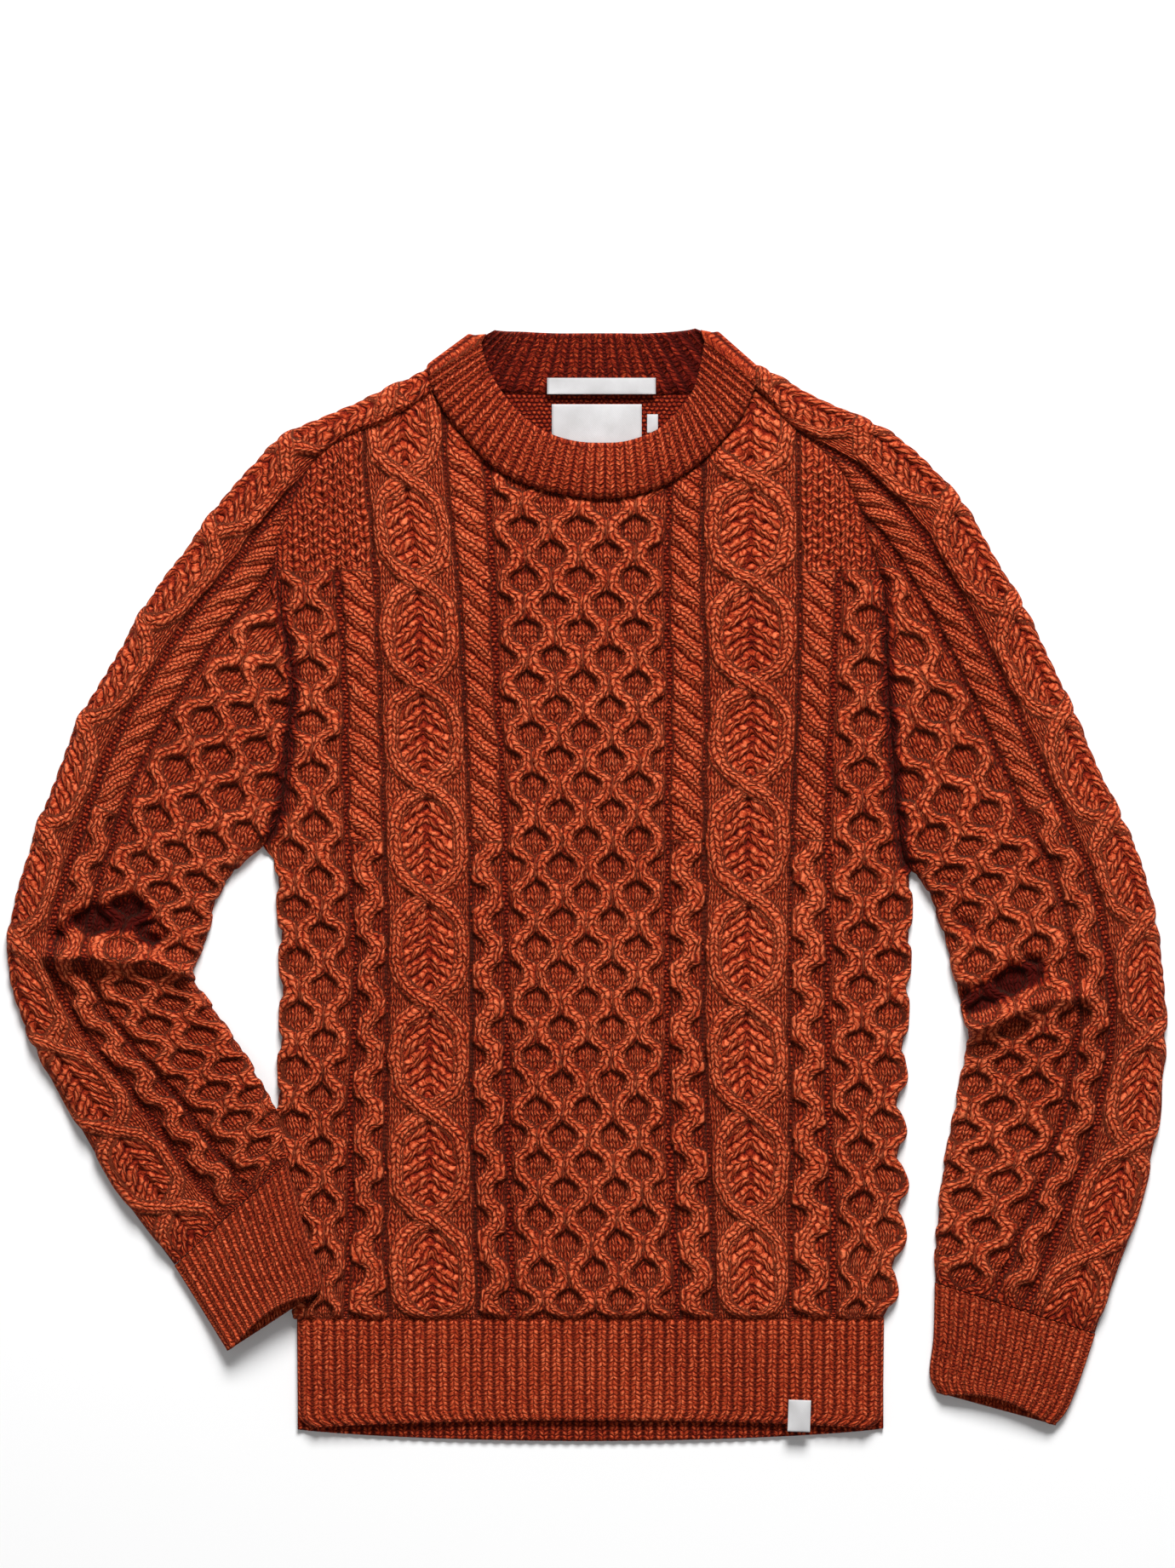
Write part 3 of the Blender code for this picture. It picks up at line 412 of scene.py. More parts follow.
# %% Honeycomb, wave, rope, leaf and moss
CENTRE_CORDS = tuple((4 * j + 2, 1 if j % 2 == 0 else -1) for j in range(-3, 3))
SIDE_CORDS = ((40, -1), (44, 1), (48, -1), (52, 1))
SLEEVE_CORDS = tuple((15 + 4 * j, -1 if j % 2 == 0 else 1) for j in range(6))
COMB_WAY, SIDE_COMB_WAY, COMB_HALF = swinging(1.06, 1.2), swinging(1.06, 1.2, 2), 1.1
WAVE_WAY, CORD_HIGH = swinging(0.95, 1.2), 5.0
LEAF_ROWS, LEAF_OPEN, LEAF_LEAN = 16, 5.45, 1.5
LEAF_CORD_HIGH, BRANCH_ROWS = 4.8, 2.5
MOSS_STITCH, MOSS_ROW = 1.5, 0.9


def leaf_way():
    """Straight across at a crossing, then upright beside the leaf, to the other side each time."""
    from_crossing = LEAF_ROWS / 2 - np.abs(PATH_ROWS % LEAF_ROWS - LEAF_ROWS / 2)
    share = LEAF_LEAN * from_crossing / LEAF_OPEN
    opening = LEAF_OPEN * share / (1 + share ** 4) ** 0.25
    return path(opening * np.where(PATH_ROWS // LEAF_ROWS % 2 == 0, 1, -1))


LEAF_WAY = leaf_way()


def honeycomb(stitch, row, cords, way, cell, shift=0.0):
    """The cells are deepest at their tops, where two cords bridge them."""
    over, up = np.cos(pi * (stitch - cell) / 4), pi * (row - shift) / 4
    dip, dome = 0.5 * np.sin(up) * over, 1.7 * np.clip(np.cos(up) * over, 0, 1) ** 2
    return highest(knitting(0.7 - dip + dome, stitch, row),
                   *(cord(stitch, row, way, rest, side, CORD_HIGH, COMB_HALF)
                     for rest, side in cords))


def wave(stitch, row):
    return highest(column(stitch, row, 2.3, 0.4),
                   cord(stitch, row, WAVE_WAY, 0, 1, CORD_HIGH, 1.45))


def rope(stitch, row, slope):
    """Two crossed cords look like a row of leaning lobes with notches between them."""
    lobe = (row + slope * stitch) / 4
    share = np.clip(1 - (stitch / 2.35) ** 2, 0, 1) ** 0.35
    high = GUTTER_HIGH + (5.4 * share) * (0.3 + 0.7 * np.abs(np.sin(pi * lobe)) ** 0.7)
    return knitting(high, 2.0 * lobe, stitch - slope * row, 1.0 * (share < 0.3))


def leaf(stitch, row, slope=0.65):
    """Chevrons slope down from a dark vein, inside two framing cords."""
    opening = np.abs(np.interp(row, PATH_ROWS, LEAF_WAY.middle))
    close = 1 - step(opening, 0, 4)
    crossing = 0.2 * (np.cos(pi * row / LEAF_ROWS) * close)
    half = CORD_HALF + 0.3 + 0.2 * close
    away = np.abs(stitch)
    ridge = (row % LEAF_ROWS - LEAF_ROWS / 2 + slope * away) / BRANCH_ROWS
    branch = np.abs(np.sin(pi * ridge)) ** 0.5
    swell = 1 - (away / 5.9) ** 2
    vein = np.exp(-(stitch / 0.55) ** 2) * (1 - 0.45 * branch)
    high = (0.2 + 2.6 * branch + 0.6 * swell) * (1 - 0.9 * vein) - 0.8 * vein
    blade = knitting(high, ridge, 0.8 * away)
    ground = chosen([away < opening], [blade], column(stitch, row, 6.7, 1.8))
    cords = (cord(stitch, row, LEAF_WAY, 0, side, LEAF_CORD_HIGH * (1 - side * crossing), half)
             for side in (1, -1))
    return highest(ground, *cords)


def moss(stitch, row):
    bumps = np.cos(pi * stitch / MOSS_STITCH) * np.cos(pi * row / MOSS_ROW)
    return knitting(1.9 + 1.3 * bumps, stitch / MOSS_STITCH + 0.5, row / MOSS_ROW + 0.5)


print("cords of the honeycomb rest at stitches", [rest for rest, side in CENTRE_CORDS])

# %% [markdown]
# The chart of the front and that of the sleeve put the columns side by side.  Row 0 is where
# the cables grow out of the ribbing, so there they start from flat.

# %% Charts of the front and the sleeve
def winding(stitch, row, rope_from, slope=0.8):
    """A narrow column: a wave that becomes a rope."""
    roped = step(row, rope_from - 1.5, rope_from + 1.5)
    return mixed(wave(stitch, row), rope(stitch, row, slope), roped)


def front_chart(stitch, row):
    """The front's knitting at these stitches, counted from its middle, and rows."""
    away, side = np.abs(stitch), np.sign(stitch)
    mossy = step(row, MOSS_FROM_ROW, MOSS_FROM_ROW + 3)
    gutter, grains = knitting(GUTTER_HIGH, stitch, row, 1.0), moss(stitch, row)
    outer = winding(stitch - side * WAVE_STITCH, row, ROPE_FROM_ROW)
    side_comb = honeycomb(away, row, SIDE_CORDS, SIDE_COMB_WAY, 42, 2)
    columns = ((12.25, honeycomb(stitch, row, CENTRE_CORDS, COMB_WAY, 0)), (13.2, gutter),
               (17.8, winding(stitch - side * ROPE_STITCH, row, ROPE_FROM_ROW)), (18.2, gutter),
               (31.8, leaf(stitch - side * LEAF_STITCH, row)), (32.2, gutter),
               (36.8, mixed(outer, grains, mossy)), (37.7, mixed(gutter, grains, mossy)))
    knit = chosen([away < end for end, _ in columns], [part for _, part in columns],
                  mixed(side_comb, grains, mossy))
    return knit._replace(high=knit.high * step(row, -0.5, 2))


def sleeve_chart(inwards, row):
    """The same for a sleeve, in stitches in from the middle of its leaf."""
    gutter = knitting(GUTTER_HIGH, inwards, row, 1.0)
    columns = ((6.1, leaf(1.14 * inwards, row, 0.79)), (7.2, gutter),
               (11.8, winding(inwards - 9.5, row, SLEEVE_ROPE_FROM_ROW, -1.1)), (12.7, gutter))
    return chosen([inwards < end for end, _ in columns], [part for _, part in columns],
                  honeycomb(inwards, row, SLEEVE_CORDS, COMB_WAY, 17))


cable = float(front_chart(np.array(3.1), np.array(8.0)).high)
print("a cable stands", round(cable, 1), "mm over the cloth")

# %% [markdown]
# ## Marled wool
#
# The yarn is rust-coloured wool spun from orange and dark maroon fibres, so its colour changes
# in short flecks along each strand.  The material reads the stitch and row of every point: two
# slanting legs make the V of a knitted stitch, and the flecks are stretched along them.  The
# third number of the attribute is painted light: it is low in the hollows between the cords, in
# deep creases and along seams, where the wool is painted darker as shade, and high on the cords.
#
# Such a pattern takes many Math nodes.  The small class below adds one for each plus, minus,
# times or power, so that a pattern can be read as a sum.

# %% Node helpers
def fill(node, values):
    """Fills a node's inputs: outputs of other nodes are linked, and plain values set."""
    for key, value in values.items():
        value = getattr(value, "socket", value)
        if isinstance(value, bpy.types.NodeSocket):
            node.id_data.links.new(value, node.inputs[key])
        else:
            node.inputs[key].default_value = value


def add_node(tree, kind, values=None, **settings):
    node = tree.nodes.new(kind)
    for name, value in settings.items():
        setattr(node, name, value)
    fill(node, values or {})
    return node


def maths(operation, first, second=0.0, clamp=False):
    """One Math node; at least one of the two is a Number."""
    tree = (first if isinstance(first, Number) else second).socket.id_data
    node = add_node(tree, "ShaderNodeMath", {0: first, 1: second},
                    operation=operation, use_clamp=clamp)
    return Number(node.outputs[0])


class Number:
    """A node's output that can be counted with."""

    def __init__(self, socket):
        self.socket = socket

    def __add__(self, other):
        return maths("ADD", self, other)

    def __sub__(self, other):
        return maths("SUBTRACT", self, other)

    def __rsub__(self, other):
        return maths("SUBTRACT", other, self)

    def __mul__(self, other):
        return maths("MULTIPLY", self, other)

    def __pow__(self, other):
        """A power, with everything below 0 taken as 0."""
        return maths("POWER", maths("MAXIMUM", self, 0.0), other)


def ramp(tree, factor, stops):
    """A colour ramp from (place, colour) pairs."""
    node = add_node(tree, "ShaderNodeValToRGB", {0: factor})
    while len(node.color_ramp.elements) < len(stops):
        node.color_ramp.elements.new(0.5)
    for element, (place, colour) in zip(node.color_ramp.elements, stops):
        element.position, element.color = place, (*colour, 1)
    return node.outputs[0]


def noise(tree, vector, scale, detail=2.0, roughness=0.5):
    """A noise texture read at a vector."""
    return Number(add_node(tree, "ShaderNodeTexNoise", {
        "Vector": vector, "Scale": scale, "Detail": detail, "Roughness": roughness}).outputs[0])


def joined(x, y, z):
    """Three numbers as one vector."""
    return add_node(x.socket.id_data, "ShaderNodeCombineXYZ", {0: x, 1: y, 2: z}).outputs[0]


def new_material(name):
    """A material, its nodes and its shader."""
    made = bpy.data.materials.new(name)
    made.use_nodes = True
    return made, made.node_tree, made.node_tree.nodes["Principled BSDF"]


def on_garment(tree):
    """The place of each shaded point on the garment."""
    return add_node(tree, "ShaderNodeTexCoord").outputs["Object"]


# %% The wool
MAROON = (0.066, 0.002, 0.0006)
DEEP_RUST = (0.18, 0.010, 0.003)
RUST = (0.43, 0.048, 0.012)
ORANGE = (0.78, 0.17, 0.066)
WOOL_STOPS = ((0.0, MAROON), (0.3, DEEP_RUST), (0.62, RUST), (1.0, ORANGE))
V_SLANT = 1.3              # rows that a stitch's leg climbs from its point to its edge
LEG_ROUND = 0.6            # below 1, a leg is flat on top and steep at its sides
FLECKS_ACROSS, FLECKS_ALONG = 3.2, 3.4        # how finely a leg is flecked
OWN_LEG, OWN_ROW = 3.7, 1.9                   # give each leg and row other flecks
BEADS_ACROSS, BEADS_ALONG = 1.3, 1.6          # purl beads to a stitch and to a row


def clamped_sum(total, *shares):
    """total plus, for every (value, middle, weight), weight times the value's way from middle."""
    for value, middle, weight in shares:
        total = (value - middle) * weight + total
    return maths("ADD", total, 0.0, clamp=True)


def v_stitch(across, along):
    """A knit stitch: two legs rise from a point; its height and its yarn's own directions."""
    from_middle = maths("ABSOLUTE", maths("FRACT", across) - 0.5)
    climb = along - from_middle * V_SLANT
    leg = maths("SINE", from_middle * (2 * pi)) ** LEG_ROUND
    loop = maths("SINE", maths("FRACT", climb) * pi) ** LEG_ROUND
    own = maths("FLOOR", across * 2.0) * OWN_LEG + maths("FLOOR", climb) * OWN_ROW
    yarn = joined(from_middle * FLECKS_ACROSS, climb * FLECKS_ALONG, own)
    return leg * (loop * 0.7 + 0.3), yarn


def purl_bump(across, along):
    """A purl stitch: low beads in rows, each row half a stitch aside of the last."""
    rows = along * BEADS_ALONG
    moved = across * BEADS_ACROSS + maths("FLOOR", rows) * 0.5
    x, y = ((maths("FRACT", part) - 0.5) * 2.0 for part in (moved, rows))
    high = maths("SQRT", maths("MAXIMUM", 1.0 - (x * x + y * y), 0.0))
    return high, joined(moved * 1.6, rows * 2.2, 5.0)


def marled_wool(name, depth, painted_shade_share=0.0, stitch_shade_share=0.7, wander=0.65):
    """Knitted wool; depth is how far, in metres, its stitches stand out, painted_shade_share how
    much darker it is painted as shade, stitch_shade_share how much shade is painted between a
    stitch's legs and round its purl beads, so that a stitch shows, wander how uneven they are."""
    made, tree, shader = new_material(name)
    place = on_garment(tree)
    read = add_node(tree, "ShaderNodeAttribute", attribute_name="knit")
    parts = add_node(tree, "ShaderNodeSeparateXYZ", {0: read.outputs["Vector"]}).outputs
    across, along, hollow = (Number(part) for part in parts)
    across += (noise(tree, place, 170.0) - 0.5) * wander
    along += (noise(tree, place, 230.0) - 0.5) * wander
    purled = add_node(tree, "ShaderNodeAttribute", attribute_name="purled").outputs["Fac"]
    knit_high, knit_yarn = v_stitch(across, along)
    purl_high, purl_yarn = purl_bump(across, along)
    stitch = Number(add_node(tree, "ShaderNodeMix", {0: purled, 2: knit_high, 3: purl_high},
                             data_type="FLOAT").outputs[0])
    yarn = add_node(tree, "ShaderNodeMix", {0: purled, 4: knit_yarn, 5: purl_yarn},
                    data_type="VECTOR").outputs[1]
    fleck = noise(tree, yarn, 1.0, 3.0, 0.6)
    fuzz = noise(tree, place, 900.0, 2.0, 0.6)
    slow = noise(tree, place, 11.0)
    # Painted shade: darker between a stitch's legs and round its purl beads.
    # Painted shade: the wool is darker where the hollow attribute is low.
    tone = clamped_sum(0.5 - painted_shade_share, (fleck, 0.5, 2.1), (fuzz, 0.5, 0.4), (slow, 0.5, 0.3),
                       (stitch, 0.6, stitch_shade_share), (hollow, 0.75, 0.48))
    relief = clamped_sum(0.35, (stitch, 0.5, 0.7), (fleck, 0.5, 0.35), (fuzz, 0.5, 0.08))
    bump = add_node(tree, "ShaderNodeBump", {"Strength": 1.0, "Distance": depth, "Height": relief})
    fill(shader, {"Base Color": ramp(tree, tone, WOOL_STOPS), "Normal": bump.outputs[0],
                  "Roughness": 0.9, "Specular IOR Level": 0.1, "Sheen Weight": 0.04,
                  "Sheen Roughness": 0.4, "Sheen Tint": (1.0, 0.5, 0.3, 1)})
    return made


cable_wool = marled_wool("marled_wool", 0.0026)
rib_wool = marled_wool("wool_rib", 0.0020, 0.0, 0.5, 0.5)
# The inside wool is the same yarn, painted darker as shade.
inner_wool_shaded = marled_wool("wool_inside_shaded", 0.0020, 0.15, 0.65, 0.4)
print("materials:", [m.name for m in (cable_wool, rib_wool, inner_wool_shaded)])

# %% [markdown]
# ## From points to a sheet
#
# Every piece below is a grid of points, a row of the grid for each fine step along the cloth.
# Blender's grid operator makes the faces, and the points are then moved to their places.  A
# panel that is cut along a seam loses the faces outside the line, and its last points slide on
# to the line, so the cut is clean.

# %% The sheet maker
Sheet = namedtuple("Sheet", "x y z across along hollow purled")
CUT_REACH = 1.6            # points this close outside a cut slide on to it
WELD = 0.02 * MM


def sheet_from(x, y, z, knit):
    """Puts the grids together; hollow is 0 in a gutter and 1 on top of a cord, and lower
    still in deep creases, so that shade is painted there.
    """
    # Painted shade: the wool is darker low between the cords and in the troughs of creases.
    pits = np.minimum(bend_height(x, y) + 1.2, 0)
    hollow = np.clip((knit.high + 0.9 + pits) / 4.6, 0, 1) ** 0.7 + 0.12 * np.minimum(pits, 0)
    return Sheet(x, y, z, knit.across, knit.along, hollow, knit.purled)


def cut_sheet(sheet, outline, line):
    """The sheet with its cut points on the line, the points to keep, and how far in they are."""
    far, spot_x, spot_y = nearest(sheet.x, sheet.y, line)
    within = inside(sheet.x, sheet.y, outline)
    edge = ~within & (far < CUT_REACH)
    x, y = np.where(edge, spot_x, sheet.x), np.where(edge, spot_y, sheet.y)
    return sheet._replace(x=x, y=y), within | edge, np.where(edge, 0, far)


def finish_mesh(bm, name, material):
    """An object in the scene from a bmesh."""
    mesh = bpy.data.meshes.new(name)
    bm.to_mesh(mesh)
    bm.free()
    mesh.materials.append(material)
    piece = bpy.data.objects.new(name, mesh)
    bpy.context.scene.collection.objects.link(piece)
    print(f"{name}: {sum(len(face.vertices) - 2 for face in mesh.polygons)} triangles")
    return piece


def make_sheet(name, sheet, material, kept=None, turn_over=False, weld=False):
    """A mesh piece from grids in millimetres, with its stitches and its painted light kept in two
    attributes.
    """
    rows, columns = sheet.x.shape
    bm = bmesh.new()
    bmesh.ops.create_grid(bm, x_segments=columns - 1, y_segments=rows - 1, size=1)
    knit = bm.verts.layers.float_vector.new("knit")
    purled = bm.verts.layers.float.new("purled")
    places = (np.stack(sheet[:3], axis=2) * MM).reshape(-1, 3).tolist()
    stitches = np.stack(sheet[3:6], axis=2).reshape(-1, 3).tolist()
    bumps = sheet.purled.reshape(-1).tolist()
    for v, place, stitch, bump in zip(bm.verts, places, stitches, bumps):
        v.co, v[knit], v[purled] = place, stitch, bump
    if kept is not None:
        spare = ~kept.reshape(-1)
        bm.verts.index_update()
        gone = [f for f in bm.faces if any(spare[v.index] for v in f.verts)]
        bmesh.ops.delete(bm, geom=gone, context="FACES")
        bmesh.ops.delete(bm, geom=[v for v in bm.verts if not v.link_faces], context="VERTS")
    if weld:
        bmesh.ops.remove_doubles(bm, verts=bm.verts, dist=WELD)
    if turn_over:
        bmesh.ops.reverse_faces(bm, faces=bm.faces)
    for face in bm.faces:
        face.smooth = True
    piece = finish_mesh(bm, name, material)
    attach(piece, "root")
    return piece


print("points up to", CUT_REACH, "mm outside a cut slide on to it")

# %% [markdown]
# ## The front
#
# The front is one knitted panel, from the ribbing up to the neck, with armholes cut out of its
# sides.  Below the underarm its sides are folds: the cloth turns down there and goes on as the
# back.  A fold is an arc, and the cables stand out from it sideways, which is what makes the
# garment's outline wavy.  Knitted by hand, no stitch is quite like the next, so the stitches,
# the rows and the cords' heights wander a little.  The panel is made as three pieces that meet
# in two gutters, so that no mesh grows too large.

# %% Points of the front
ARC = np.linspace(0, 1, 13)[1:]            # shares of a half turn, from the top to the underside
REST_LOW = 3.0                             # height of a fold's outermost point
UNEVEN = 0.14                              # how much the cords' heights wander


def turned_edge(top, share, reach=FOLD):
    """A folded side: how far in from the fold, how high, and the way the surface looks."""
    out, up = np.sin(pi * share), np.cos(pi * share)
    above, below = (top - REST_LOW) * up, (REST_LOW - UNDER) * up
    return reach * (1 - out), REST_LOW + np.where(up > 0, above, below), out, up


def by_hand(stitch, row):
    """Hand knitting is never even: stitches and rows wander a little."""
    return (stitch + 0.18 * wobble(stitch, row, 4.5, 1),
            row + 0.18 * wobble(stitch, row, 5.5, 2))


def panel_x(level, left, right, edge, flat):
    """Where these stitches of a body panel lie in every row, between its gutters and sides."""
    stitches = (-edge, *(-g for g in reversed(GUTTERS)), *GUTTERS, edge)
    marks = beside(left, level[:, 2:10], right)
    return np.array([np.interp(flat, stitches, m) for m in marks])


def front_points():
    """Every point of the front before the armholes and the neck are cut."""
    row = np.arange(0, TOP_ROW + FINE / 2, FINE)[:, None]
    flat = np.arange(-EDGE_STITCH, EDGE_STITCH + FINE / 2, FINE)
    level = smooth(LEVELS, row[:, 0] / ROWS_PER_LEVEL)
    height = level[:, :1]
    sway = SCALLOP * np.cos(pi * (row - 5) / 4) * (1 - step(row, 34, 46))
    left, right = level[:, 1:2] + 0.4 * sway, level[:, 10:] + sway
    x = panel_x(level, left + FOLD, right - FOLD, EDGE_STITCH, flat)
    y = height + 0 * x
    knit = front_chart(*by_hand(flat, row))
    uneven = 1 + UNEVEN * wobble(x, y, 11, 3)
    z = GROUND + bend_height(x, y) + knit.high * uneven + 0.3 * wobble(x, y, 16, 4)
    turned = 1 - step(row, 66, 72)         # 1 where the side is a fold, 0 beside an armhole
    arcs = []
    for side, edge in ((-1, left), (1, right)):
        top = GROUND + bend_height(edge - side * FOLD, height)
        inwards, high, out, up = turned_edge(top, ARC)
        arc_knit = front_chart(*by_hand(side * (EDGE_STITCH + ARC * pi * FOLD / ROW), row))
        stands = 0.75 * arc_knit.high * (1 - step(ARC, 0.5, 0.72))
        arc_x = edge - side * inwards + side * out * stands
        arc_z = high + np.maximum(up, 0) * stands
        arc_x = arc_x * turned + (edge + side * (ARC * 14 - 5)) * (1 - turned)
        arc_z = arc_z * turned + seam_height(height) * (1 - turned)
        arcs.append((arc_x, height + 0 * arc_x, arc_z, *arc_knit))
    grids = [beside(a[:, ::-1], b, c) for a, b, c in zip(arcs[0], (x, y, z, *knit), arcs[1])]
    return sheet_from(*grids[:3], Knit(*grids[3:]))


def seam_height(y):
    """Where the panels are sewn together: deep at the armholes, shallow along the strap."""
    return SEAM_LOW + (SEAM_HIGH - SEAM_LOW) * step(y, 140, 230)


front = front_points()
print("points of the front:", front.x.size)

# %% [markdown]
# The armholes and the neck are the same lines that the sleeves and the neckband start from.
# Near such a seam the cloth rolls down and its cables fade, because they are caught in it.  The
# panels overlap the seam by a third of a millimetre, so that nothing shines through between
# them, and shade is painted along the seam: a dark line at the armholes and a faint one along
# the strap.

# %% Cutting the front
OVERLAP = 0.35
BESIDE = 240.0                             # well outside the body


def armhole(table, start, gap):
    """The sleeve's seam line from just below the underarm to the neck, moved aside by gap."""
    line, _ = two_lines(table[:-1], np.linspace(start - 1, len(table) - 2, 90))
    along = np.gradient(line, axis=0)
    along /= np.linalg.norm(along, axis=1)[:, None]
    return line + gap * np.stack((-along[:, 1], along[:, 0]), axis=1)


SEAM_LEFT = armhole(LEFT_SLEEVE, LEFT_UNDERARM, OVERLAP)
SEAM_RIGHT = armhole(RIGHT_SLEEVE, RIGHT_UNDERARM, -OVERLAP)


def neck_line(table):
    """The neckband's seam edge between the two straps."""
    line, _ = two_lines(table, np.linspace(0, len(table) - 1, 90))
    return line[(line[:, 0] > SEAM_LEFT[-1, 0] + 1) & (line[:, 0] < SEAM_RIGHT[-1, 0] - 1)]


def body_outline(neck):
    """A panel's cut, up the right armhole, along the neck and down the left, and its outline."""
    cut = np.concatenate((SEAM_RIGHT, neck, SEAM_LEFT[::-1]))
    low = ((-BESIDE, -400), (BESIDE, -400), (BESIDE, SEAM_RIGHT[0, 1]))
    return cut, np.concatenate((low, cut, ((-BESIDE, SEAM_LEFT[0, 1]),)))


def seam_shade(far, y):
    """Painted shade along a seam: a dark line."""
    return (1.5 - 1.3 * step(y, 140, 230)) * (1 - step(far, 0, 8.5))


def roll_down(sheet, far, reach=6.0, fade=9.0):
    """Lets the cloth dip to its seam and its cables fade there, and paints shade along the seam."""
    ground, low = GROUND + bend_height(sheet.x, sheet.y), seam_height(sheet.y)
    z = ground + (sheet.z - ground) * (0.25 + 0.75 * step(far, 1, fade))
    return low + (z - low) * quarter(far + 0.2, reach), sheet.hollow - seam_shade(far, sheet.y)


FRONT_CUT, FRONT_OUTLINE = body_outline(neck_line(COLLAR_FRONT)[::-1])
front, front_kept, from_seam = cut_sheet(front, FRONT_OUTLINE, FRONT_CUT)
upper = front.y > min(SEAM_LEFT[0, 1], SEAM_RIGHT[0, 1])
# The front dips at its seams, and shade is painted along them.
rolled_z, rolled_painted_light = roll_down(front, from_seam)
front = front._replace(z=np.where(upper, rolled_z, front.z),
                       hollow=np.where(upper, rolled_painted_light, front.hollow))
print("points kept:", int(front_kept.sum()))

# %% The front's three pieces
LEFT_GUTTER, RIGHT_GUTTER = (len(ARC) + int((EDGE_STITCH + side * GUTTERS[1]) / FINE)
                             for side in (-1, 1))
for name, start, end, cut in (
        ("front_left_cables", 0, LEFT_GUTTER + 1, (0.140, 0.61)),
        ("front_honeycomb", LEFT_GUTTER, RIGHT_GUTTER + 1, (0.165, 0.56)),
        ("front_right_cables", RIGHT_GUTTER, front.x.shape[1], (0.140, 0.61))):
    part = Sheet(*(grid[:, start:end] for grid in front))
    piece = make_sheet(name, part, cable_wool, front_kept[:, start:end])
    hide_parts("front")

# %% [markdown]
# ## The sleeves
#
# A sleeve is a tube that has been pressed flat.  The points of one row start under its seam
# side, come up over it, cross the top, turn down over the outer fold and go back below.  From
# the underarm up, the seam side is sewn to the body instead, so it dips to the seam.  The
# saddle at its upper end narrows to a strap that runs along the shoulder to the neckband.

# %% Points of a tube
SEAM_ROLL = 4.0
SLEEVE_STEP = 1.3                          # from one row of a sleeve's points to the next
DEEPEST = -4.5                             # no crease goes deeper into the cloth
POINTS_BELOW = 22


def tube_points(table, places, chart, open_seam, crown, lifted, tops, mouth=None):
    """A flattened tube, row by row; open_seam is 1 where the seam side is a fold too."""
    seam, fold = two_lines(table, places)
    width = np.linalg.norm(seam - fold, axis=1)[:, None]
    reach, opened, side = np.minimum(FOLD, 0.42 * width), open_seam[:, None], ARC[::-1]
    roll = SEAM_ROLL * np.clip(width / 30, 0.3, 1)
    seam_reach = reach * opened + roll * (1 - opened)

    def spot(distance):
        """x and y, at a distance in from the outer fold."""
        return (fold[:, i:i + 1] + (seam - fold)[:, i:i + 1] / width * distance for i in (0, 1))

    def ground(distance):
        loft = crown * np.sin(pi * np.clip(distance / width, 0, 1)) ** 0.8
        bend = bend_height(*spot(distance)) * quarter(distance, 14)
        return GROUND + np.maximum(loft * (0.35 + 0.65 * opened) + bend, DEEPEST)

    top_in = reach + (width - reach - seam_reach) * np.linspace(0, 1, tops)[::-1]
    top_knit = chart(top_in)
    rows = SLEEVE_STEP * np.arange(len(places))[:, None]
    top_z = ground(top_in) + top_knit.high * (1 + UNEVEN * wobble(top_in, rows, 11, 5))
    fold_in, fold_z, out, up = turned_edge(ground(reach), ARC, reach)
    fold_knit = chart(reach - ARC * pi * reach)
    stands = fold_knit.high * (1 - 0.35 * step(ARC, 0, 0.4) - 0.65 * step(ARC, 0.5, 0.75))
    fold_in, fold_z = fold_in - out * stands, fold_z + np.maximum(up, 0) * stands
    seam_in, seam_z, out, up = turned_edge(ground(width - seam_reach), side, seam_reach)
    seam_knit = chart(width - seam_reach + side * pi * seam_reach)
    stands = seam_knit.high * (1 - 0.6 * step(side, 0, 0.4) - 0.4 * step(side, 0.5, 0.75))
    tucked = np.clip(2 * side, 0, 1)
    sewn_in = roll * (1 - np.sin(pi / 2 * tucked))
    sewn_top = ground(width - roll) + seam_knit.high * (1 - 0.7 * tucked)
    low = seam_height(seam[:, 1:])
    sewn_z = low + (sewn_top - low) * np.cos(pi / 2 * tucked) - 2 * np.clip(side - 0.5, 0, 1)
    seam_in = (seam_in - out * stands) * opened + sewn_in * (1 - opened)
    seam_z = (seam_z + np.maximum(up, 0) * stands) * opened + sewn_z * (1 - opened)
    below_in = reach + (width - reach - reach * opened) * np.linspace(0, 1, POINTS_BELOW)[1:]
    below_knit = chart(below_in)
    below_z = UNDER + 0.35 * np.clip(1 - below_knit.high / 3, 0, 1)
    distance = beside(width - seam_in, top_in, fold_in, below_in)
    z = beside(seam_z, top_z, fold_z, below_z)
    knit = Knit(*(beside(*parts) for parts in zip(seam_knit, top_knit, fold_knit, below_knit)))
    x, y = spot(distance)
    if mouth is not None:
        x, y, z = mouth(x, y, z, tops, len(ARC))
    sheet = sheet_from(x, y, z + lifted * lift_height(x, y), knit)
    # Painted shade along the seam where the sleeve is sewn to the body.
    return sheet._replace(hollow=sheet.hollow - (1 - opened) * seam_shade(width - distance, y))


print("points round a fold:", len(ARC))

# %% [markdown]
# A sleeve's stitches are counted in from the middle of its leaf.  Beside the leaf they are
# narrow, and in the honeycomb beyond its rope they are stretched wider.

# %% The two sleeves
LEAF_UNIT = 4.5                            # millimetres, for the leaf's place in the tables
NARROW, WIDE = 3.84, 4.8                   # a stitch beside the leaf, and one of the honeycomb
WIDE_FROM, WIDE_STITCH = 47, 12.25         # these start here, in millimetres and in stitches


def even_places(table):
    """Places along a sleeve's table, evenly apart, and the knitted row of each from the cuff."""
    fine = np.linspace(0, len(table) - 1, 600)
    seam, fold = two_lines(table, fine)
    run = run_along((seam + fold) / 2)
    rows = np.linspace(0, run[-1], int(run[-1] / SLEEVE_STEP) + 1)
    return np.interp(rows, run, fine), rows / ROW


